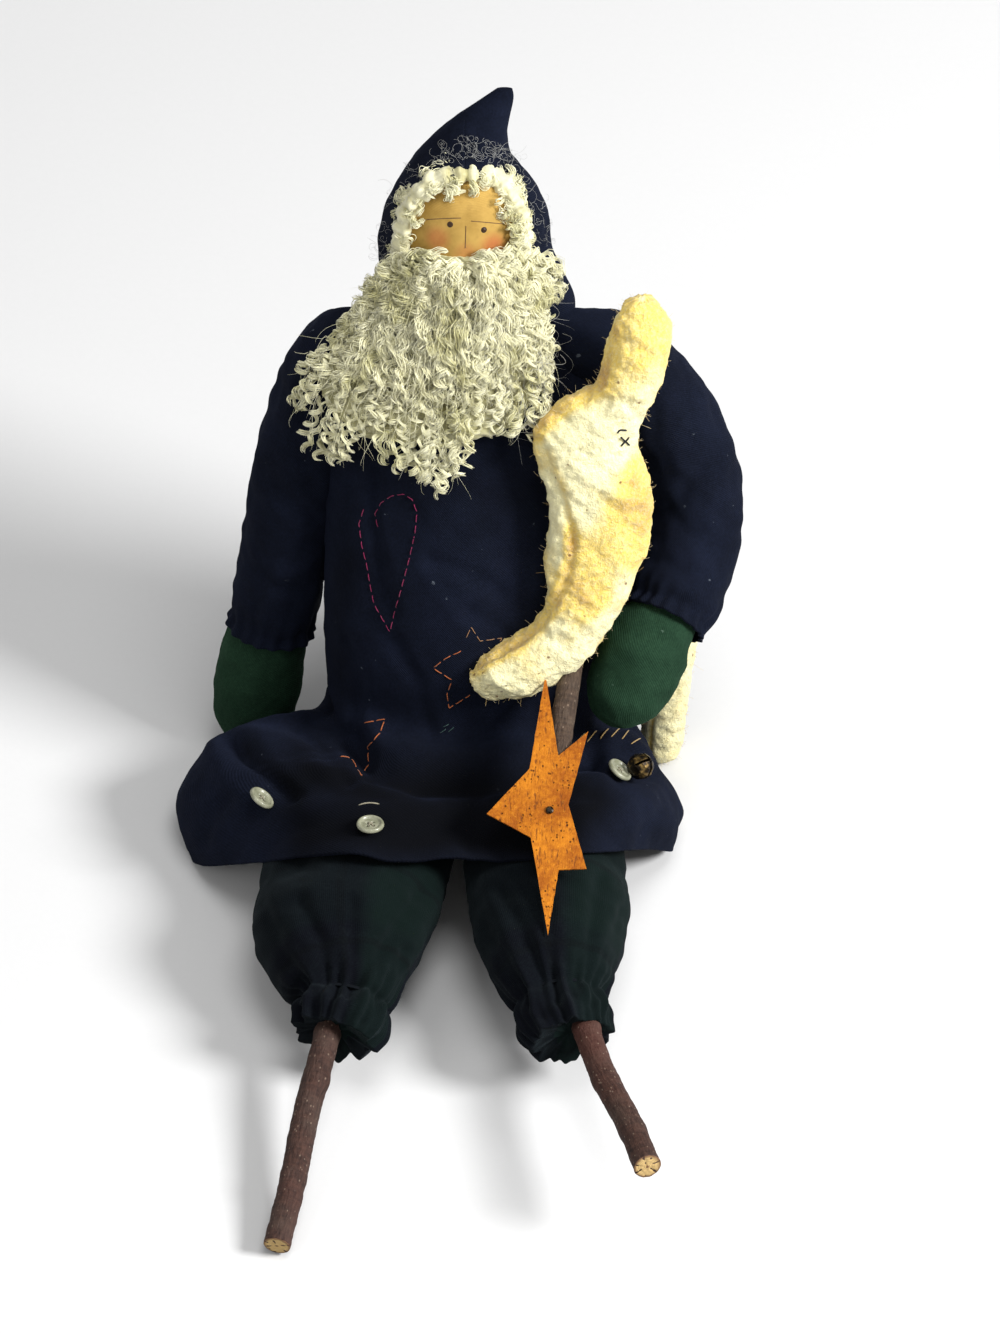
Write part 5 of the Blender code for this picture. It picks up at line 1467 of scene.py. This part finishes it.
# The faces of pieces, with their modifiers, for lines of sight to meet.
def surfaceTree(*pieces):
    points, faces = [], []
    graph = bpy.context.evaluated_depsgraph_get()
    for piece in pieces:
        shown = piece.evaluated_get(graph)
        mesh = shown.to_mesh()
        base = len(points)
        points.extend(vertex.co.copy() for vertex in mesh.vertices)
        faces.extend([base + i for i in face.vertices] for face in mesh.polygons)
        shown.to_mesh_clear()
    return BVHTree.FromPolygons(points, faces)


# Where sight through a place in the picture first meets a surface, with its normal there, in millimetres.
def seenAt(tree, spot):
    place, normal, _, _ = tree.ray_cast(Vector(cameraPoint), sightLine(spot))
    if place is None:
        return None, None
    return np.array(place) / mm, np.array(normal)


# A line drawn or sewn on a surface through places in the picture: points at even steps, each set down on it.
def lineOn(tree, spots, steps, lift):
    spots = between(np.array(spots, float), np.linspace(0, len(spots) - 1, steps))
    points = []
    for spot in spots:
        place, normal = seenAt(tree, spot)
        if place is not None:
            points.append(place + normal * lift)
    return np.array(points)


# Hairs that stray from the fringe over the hood's front edge: in the picture each is an arc whose heading
# turns evenly, and it lies on the hood or, past its edge, goes on at the same distance.
hoodHairs = {
    "from": ((386, 262), (391, 226), (404, 192), (430, 163), (460, 150), (492, 152), (518, 178), (534, 212),
             (546, 246)),
    "away": (466, 250), "count": 120, "steps": 22, "length": (10, 26), "thick": 0.05, "seed": 31,
    "tuft": (473, 152), "tuftCount": 26,
}


def makeHoodHairs(tree):
    shape = hoodHairs
    draw = np.random.default_rng(shape["seed"])
    count = shape["count"] + shape["tuftCount"]
    starts = between(shape["from"], draw.uniform(0, 8, shape["count"]))
    starts = np.concatenate([starts, shape["tuft"] + draw.normal(0, 8, (shape["tuftCount"], 2)) * (1.6, 0.6)])
    starts = starts + draw.normal(0, 3.5, (count, 2))
    outward = starts - np.array(shape["away"])
    heading = np.arctan2(outward[:, 1], outward[:, 0])[:, None] + draw.normal(0, 1.3, (count, 1))
    t = np.linspace(0, 1, shape["steps"])[None, :]
    heading = heading + draw.normal(0, 2.6, (count, 1)) * t + draw.normal(0, 1.5, (count, 1)) * np.sin(4 * t)
    length = draw.uniform(*shape["length"], (count, 1))
    step = (length / shape["steps"])[..., None]
    spots = starts[:, None] + np.cumsum(np.stack([np.cos(heading), np.sin(heading)], -1), axis=1) * step
    lift = draw.uniform(0.3, 2.2, count)
    paths = []
    for hair, high in zip(spots, lift):
        far, points = None, []
        for spot in hair:
            place, normal = seenAt(tree, spot)
            if place is not None:
                point = place + normal * high
                far = np.linalg.norm(place - cameraPoint / mm)
            elif far is not None:
                point = cameraPoint / mm + np.array(sightLine(spot)) * far
            else:
                break
            points.append(point)
        if len(points) == len(hair):
            paths.append(points)
    paths = np.array(paths)
    paths[:, 1:-1] = (paths[:, :-2] + paths[:, 1:-1] + paths[:, 2:]) / 3
    hairs = strands("hood_hairs", paths, np.full(paths.shape[:2], shape["thick"]), looseHair, 3)
    return handOver(hairs)


fringe = makeFringe()
makeFringeCurls()
beard = makeBeard()
for name, lock in locks.items():
    makeLocks(name, lock)
makeHairs("beard_hairs", beardShape["flow"], 300, 13, (0.15, 0.4), 7.0, 0.12, fleece, (2.0, 9.0))
makeHairs("beard_fuzz", beardShape["flow"][10:], 120, 14, (0.1, 0.3), 12.0, 0.09, looseHair, (-1.0, 6.0))
makeHoodHairs(surfaceTree(hood, fringe))
print("fleece made")


# The face is drawn in ink on the muslin, at places in the picture.
faceShape = {
    "eyes": ((450, 224.5), (484, 230)), "eyeRadius": 1.55, "eyeHeight": 0.55, "eyeSunk": 0.12,
    "lines": (((427, 219.5), (444, 218.5), (461, 218)), ((471, 221), (488, 222.5), (505, 224)),
              ((466, 226), (465.6, 237), (465.3, 248))),
    "ink": (0.16, 0.085, 0.035), "lineRadius": 0.20,
    "cheeks": (((437, 239), 8.5, 0.62), ((493, 246), 9.0, 0.72)),
    "under": ((466, 254), 8.0, 0.45),
}


# An eye: a low dome, whose height falls as the square of the distance from its middle.
def makeEye(name, place, normal, radius, finish):
    side = np.cross(normal, [0, 0, 1.0])
    side /= np.linalg.norm(side)
    other = np.cross(normal, side)
    share = np.linspace(0.02, 1, 12)[:, None]
    turns = evenTurns(32)[None, :]
    flat = (share * np.cos(turns))[..., None] * side + (share * np.sin(turns))[..., None] * other
    height = faceShape["eyeHeight"] * (1 - share ** 2) - faceShape["eyeSunk"]
    grid = place + flat * radius + height[..., None] * normal
    under = grid[-1:] - normal * 0.5
    eye = skin(name, np.concatenate([grid, under]), finish)
    return handOver(eye)


# The face: rosy patches in the head's finish, two eyes, and lines of ink set down on the head.
def makeFace():
    tree = surfaceTree(head)
    spots = [(seenAt(tree, spot)[0], size, strength) for spot, size, strength in
             (*faceShape["cheeks"], faceShape["under"])]
    head.data.materials[0] = muslinFinish("rosy_muslin", spots)
    ink = threadFinish("brown_ink", faceShape["ink"], 0.6)
    dark = threadFinish("dark_bead", (0.050, 0.024, 0.010), 0.3)
    for n, spot in enumerate(faceShape["eyes"]):
        place, normal = seenAt(tree, spot)
        makeEye("eye_" + str(n), place, normal, faceShape["eyeRadius"], dark)
    drawn = np.array([lineOn(tree, line, 14, 0.02) for line in faceShape["lines"]])
    lines = strands("face_lines", drawn, np.full(drawn.shape[:2], faceShape["lineRadius"]), ink, 6)
    handOver(lines)


makeFace()
print("face drawn")


# Lines of the embroidery and of the other stitches on the robe, as places in the picture.
sewing = {
    "heart": ((378, 527), (375, 514), (381, 503), (391, 496), (403, 494), (412, 499), (417, 512), (415, 533),
              (409, 560), (401, 590), (395, 611), (390, 632), (382, 618), (374, 604), (370, 584), (367, 566),
              (362, 546), (359, 524), (364, 508)),
    "starA": ((466, 638), (471, 627), (480, 641), (502, 638), (494, 652)),
    "starB": ((461, 651), (446, 658), (433, 668), (452, 680), (447, 694), (449, 708), (470, 695)),
    "starC": ((364, 723), (385, 719), (380, 733), (368, 747), (369, 765), (361, 776), (351, 758), (337, 756)),
    "green": (((440, 733), (446, 729)), ((448, 732), (454, 727)), ((443, 727), (449, 724))),
    "whip": (((563, 747), (572, 735)), ((574, 744), (586, 732)), ((587, 742), (597, 730)),
             ((600, 739), (609, 728)), ((611, 737), (620, 728)), ((622, 739), (629, 730)),
             ((631, 744), (641, 738))),
    "grey": (((358, 805), (368, 803.5), (380, 804)),),
}


# Running stitches along a line in the picture: a dash of thread, then a gap, each dash a short arc that
# dips into the cloth at both ends.
def makeStitches(name, tree, spots, dash, gap, thick, finish):
    line = np.array(spots, float)
    steps = np.linalg.norm(np.diff(line, axis=0), axis=1)
    far = np.concatenate([[0], np.cumsum(steps)])
    starts = np.arange(0, far[-1] - dash * 0.6, dash + gap)
    paths = []
    for start in starts:
        places = np.linspace(start, min(start + dash, far[-1]), 7)
        dashSpots = np.stack([np.interp(places, far, line[:, n]) for n in range(2)], -1)
        points = []
        for share, spot in zip(np.linspace(-1, 1, 7), dashSpots):
            place, normal = seenAt(tree, spot)
            if place is not None:
                points.append(place + normal * (thick * (1.1 - 2.2 * share ** 4)))
        if len(points) == 7:
            paths.append(points)
    piece = strands(name, np.array(paths), np.full((len(paths), 7), thick), finish, 6)
    return handOver(piece)


robeTree = surfaceTree(robe)
magenta = threadFinish("magenta_thread", (0.30, 0.015, 0.085), 0.5)
orange = threadFinish("orange_thread", (0.50, 0.13, 0.035), 0.5)
tan = threadFinish("tan_thread", (0.40, 0.21, 0.10), 0.5)
gold = threadFinish("gold_thread", (0.52, 0.34, 0.13), 0.5)
buttonThread = threadFinish("button_thread", (0.34, 0.31, 0.22), 0.7)
sage = threadFinish("sage_thread", (0.03, 0.075, 0.07), 0.6)
for name, key, dash, gap, thick, thread in (
        ("heart_stitches", "heart", 8.0, 3.0, 0.22, magenta), ("star_stitches_a", "starA", 9.0, 2.5, 0.20, tan),
        ("star_stitches_b", "starB", 9.0, 2.5, 0.24, orange),
        ("star_stitches_c", "starC", 10.0, 2.0, 0.27, orange)):
    makeStitches(name, robeTree, sewing[key], dash, gap, thick, thread)
for n, line in enumerate(sewing["green"]):
    makeStitches("green_stitch_" + str(n), robeTree, line, 9.0, 1.0, 0.2, sage)
for n, line in enumerate(sewing["whip"]):
    makeStitches("whip_stitch_" + str(n), robeTree, line, 16.0, 1.0, 0.30, gold)
makeStitches("grey_stitch", robeTree, sewing["grey"][0], 30.0, 1.0, 0.35, buttonThread)
print("stitches sewn")


# The moon's eye: a cross and a bent line of black thread.
def makeMoonEye():
    tree = surfaceTree(moon)
    finish = threadFinish("ink_thread", (0.008, 0.008, 0.010), 0.7)
    lines = np.array([lineOn(tree, line, 8, 0.35) for line in moonShape["eye"]])
    eye = strands("moon_eye", lines, np.full(lines.shape[:2], 0.42), finish, 6)
    return handOver(eye)


makeMoonEye()

buttonShape = {
    "radius": 6.4, "thick": 2.4, "around": 96, "holeRadius": 0.8, "holeSpread": 1.75, "threadRadius": 0.32,
    # place in the picture, share of the normal towards the camera, and its turn from the picture's right
    "spots": {"button_left": ((265.6, 802), 0.36, 46), "button_middle": ((370, 829), 0.55, 90),
              "button_right": ((616, 773.5), 0.40, 48)},
    # from the back's middle round the rim to the dish's middle, as shares of the radius and the thickness
    "profile": ((0.0, 0.0), (0.35, 0.0), (0.72, 0.0), (0.93, 0.14), (1.0, 0.42), (0.985, 0.72), (0.93, 0.95),
                (0.86, 1.0), (0.78, 0.95), (0.70, 0.74), (0.60, 0.62), (0.3, 0.6), (0.0, 0.6)),
}


# A button: a profile turned round its own tilt and a little of the cloth's normal, with four round holes
# pressed down through its dish, and a cross of thread in them.
def makeButton(node, spot, facing, turned):
    place, cloth = seenAt(robeTree, spot)
    turned = math.radians(turned)
    aside = sightRight * math.cos(turned) + sightUp * math.sin(turned)
    tipped = -sightAhead * facing + aside * math.sqrt(1 - facing ** 2)
    normal = tipped * 0.9 + cloth * 0.1
    normal /= np.linalg.norm(normal)
    shape = buttonShape
    low = shape["radius"] * math.sqrt(max(0.0, 1 - float(normal @ cloth) ** 2))
    profile = between(shape["profile"], np.linspace(0, len(shape["profile"]) - 1, 90))
    side = np.cross(normal, [0.3, 0.2, 1.0])
    side /= np.linalg.norm(side)
    other = np.cross(normal, side)
    turns = evenTurns(shape["around"])
    reach = np.clip(profile[:, :1], 0.004, None) * shape["radius"]
    flat = np.stack([reach * np.cos(turns), reach * np.sin(turns)], -1)
    height = np.repeat(profile[:, 1:] * shape["thick"], len(turns), 1)
    top = smoothStep(np.arange(90) / 90, 0.70, 0.72)[:, None]
    corners = math.pi / 4 + math.pi / 2 * np.arange(4)
    holes = np.stack([np.cos(corners), np.sin(corners)], -1) * shape["holeSpread"]
    for hole in holes:
        gap = np.linalg.norm(flat - hole, axis=-1) / shape["holeRadius"]
        height = height - top * shape["thick"] * 0.55 * (1 - smoothStep(gap, 0.75, 1.05))
    seat = place + normal * 0.3 + cloth * low * 0.75
    grid = seat + flat[..., :1] * side + flat[..., 1:] * other + height[..., None] * normal
    button = skin(node + "_round", grid, buttonCream)
    handOver(button, node)
    thread = []
    share = np.linspace(0, 1, 12)[:, None]
    up = shape["thick"] * 0.62 + 0.35 - 2.2 * (2 * share - 1) ** 6
    for first, last in (holes[::2], holes[1::2]):
        line = first + (last - first) * share
        thread.append(seat + line[:, :1] * side + line[:, 1:] * other + up * normal)
    thread = np.array(thread)
    cross = strands(node + "_thread", thread, np.full(thread.shape[:2], shape["threadRadius"]), buttonThread, 6)
    handOver(cross)
    return button


for node, spot in buttonShape["spots"].items():
    makeButton(node, *spot)
print("buttons made")


# Pieces kept from the model only get a finish.
for name, finish in (("stuffed_body", muslin), ("star_nail", darkMetal),
                     ("bell_shell", darkMetal), ("bell_pellet", darkMetal)):
    for slot in nodes[name].material_slots:
        slot.material = finish


stageShape = {"floorSeen": 0.74, "floorLit": 0.45, "half": 4.0, "world": 0.36}


def makeStage():
    half = stageShape["half"] / mm
    corners = np.array([(-half, -half, 0), (half, -half, 0), (half, half, 0), (-half, half, 0)], float)
    finish, wire, place, shader = startFinish("floor_paper")
    grain = noise(wire, place, 300.0)
    seen = wire.add("LightPath")
    level = seen * (stageShape["floorSeen"] - stageShape["floorLit"]) + stageShape["floorLit"] - grain * 0.02
    tone = wire.add("CombineColor", {}, {0: level, 1: level, 2: level})
    endFinish(wire, shader, tone, 0.9, grain, (0.02, 0.0002))
    floor = addMesh("floor", corners, [(0, 1, 2, 3)], finish, smooth=False)
    world = bpy.data.worlds.new("studio")
    world.use_nodes = True
    world.node_tree.nodes["Background"].inputs["Color"].default_value = (1.0, 1.0, 1.0, 1.0)
    world.node_tree.nodes["Background"].inputs["Strength"].default_value = stageShape["world"]
    bpy.context.scene.world = world


# Lamps in metres and watts.
lamps = {
    "key": {"place": (1.65, -0.65, 1.45), "size": 0.7, "power": 65.0},
    "fill": {"place": (-1.6, -1.6, 1.5), "size": 1.6, "power": 10.0},
    "top": {"place": (0.3, -0.3, 2.3), "size": 1.2, "power": 17.0},
}


def makeLamps():
    for name, lamp in lamps.items():
        light = bpy.data.lights.new(name, "AREA")
        light.shape = "DISK"
        light.size = lamp["size"]
        light.energy = lamp["power"]
        holder = bpy.data.objects.new(name, light)
        holder.location = lamp["place"]
        aim = Vector((0.0, -0.05, 0.12)) - holder.location
        holder.rotation_euler = aim.to_track_quat("-Z", "Y").to_euler()
        bpy.context.scene.collection.objects.link(holder)


addCamera()
makeStage()
makeLamps()
bpy.context.scene.view_settings.view_transform = "Standard"
print("stage made")
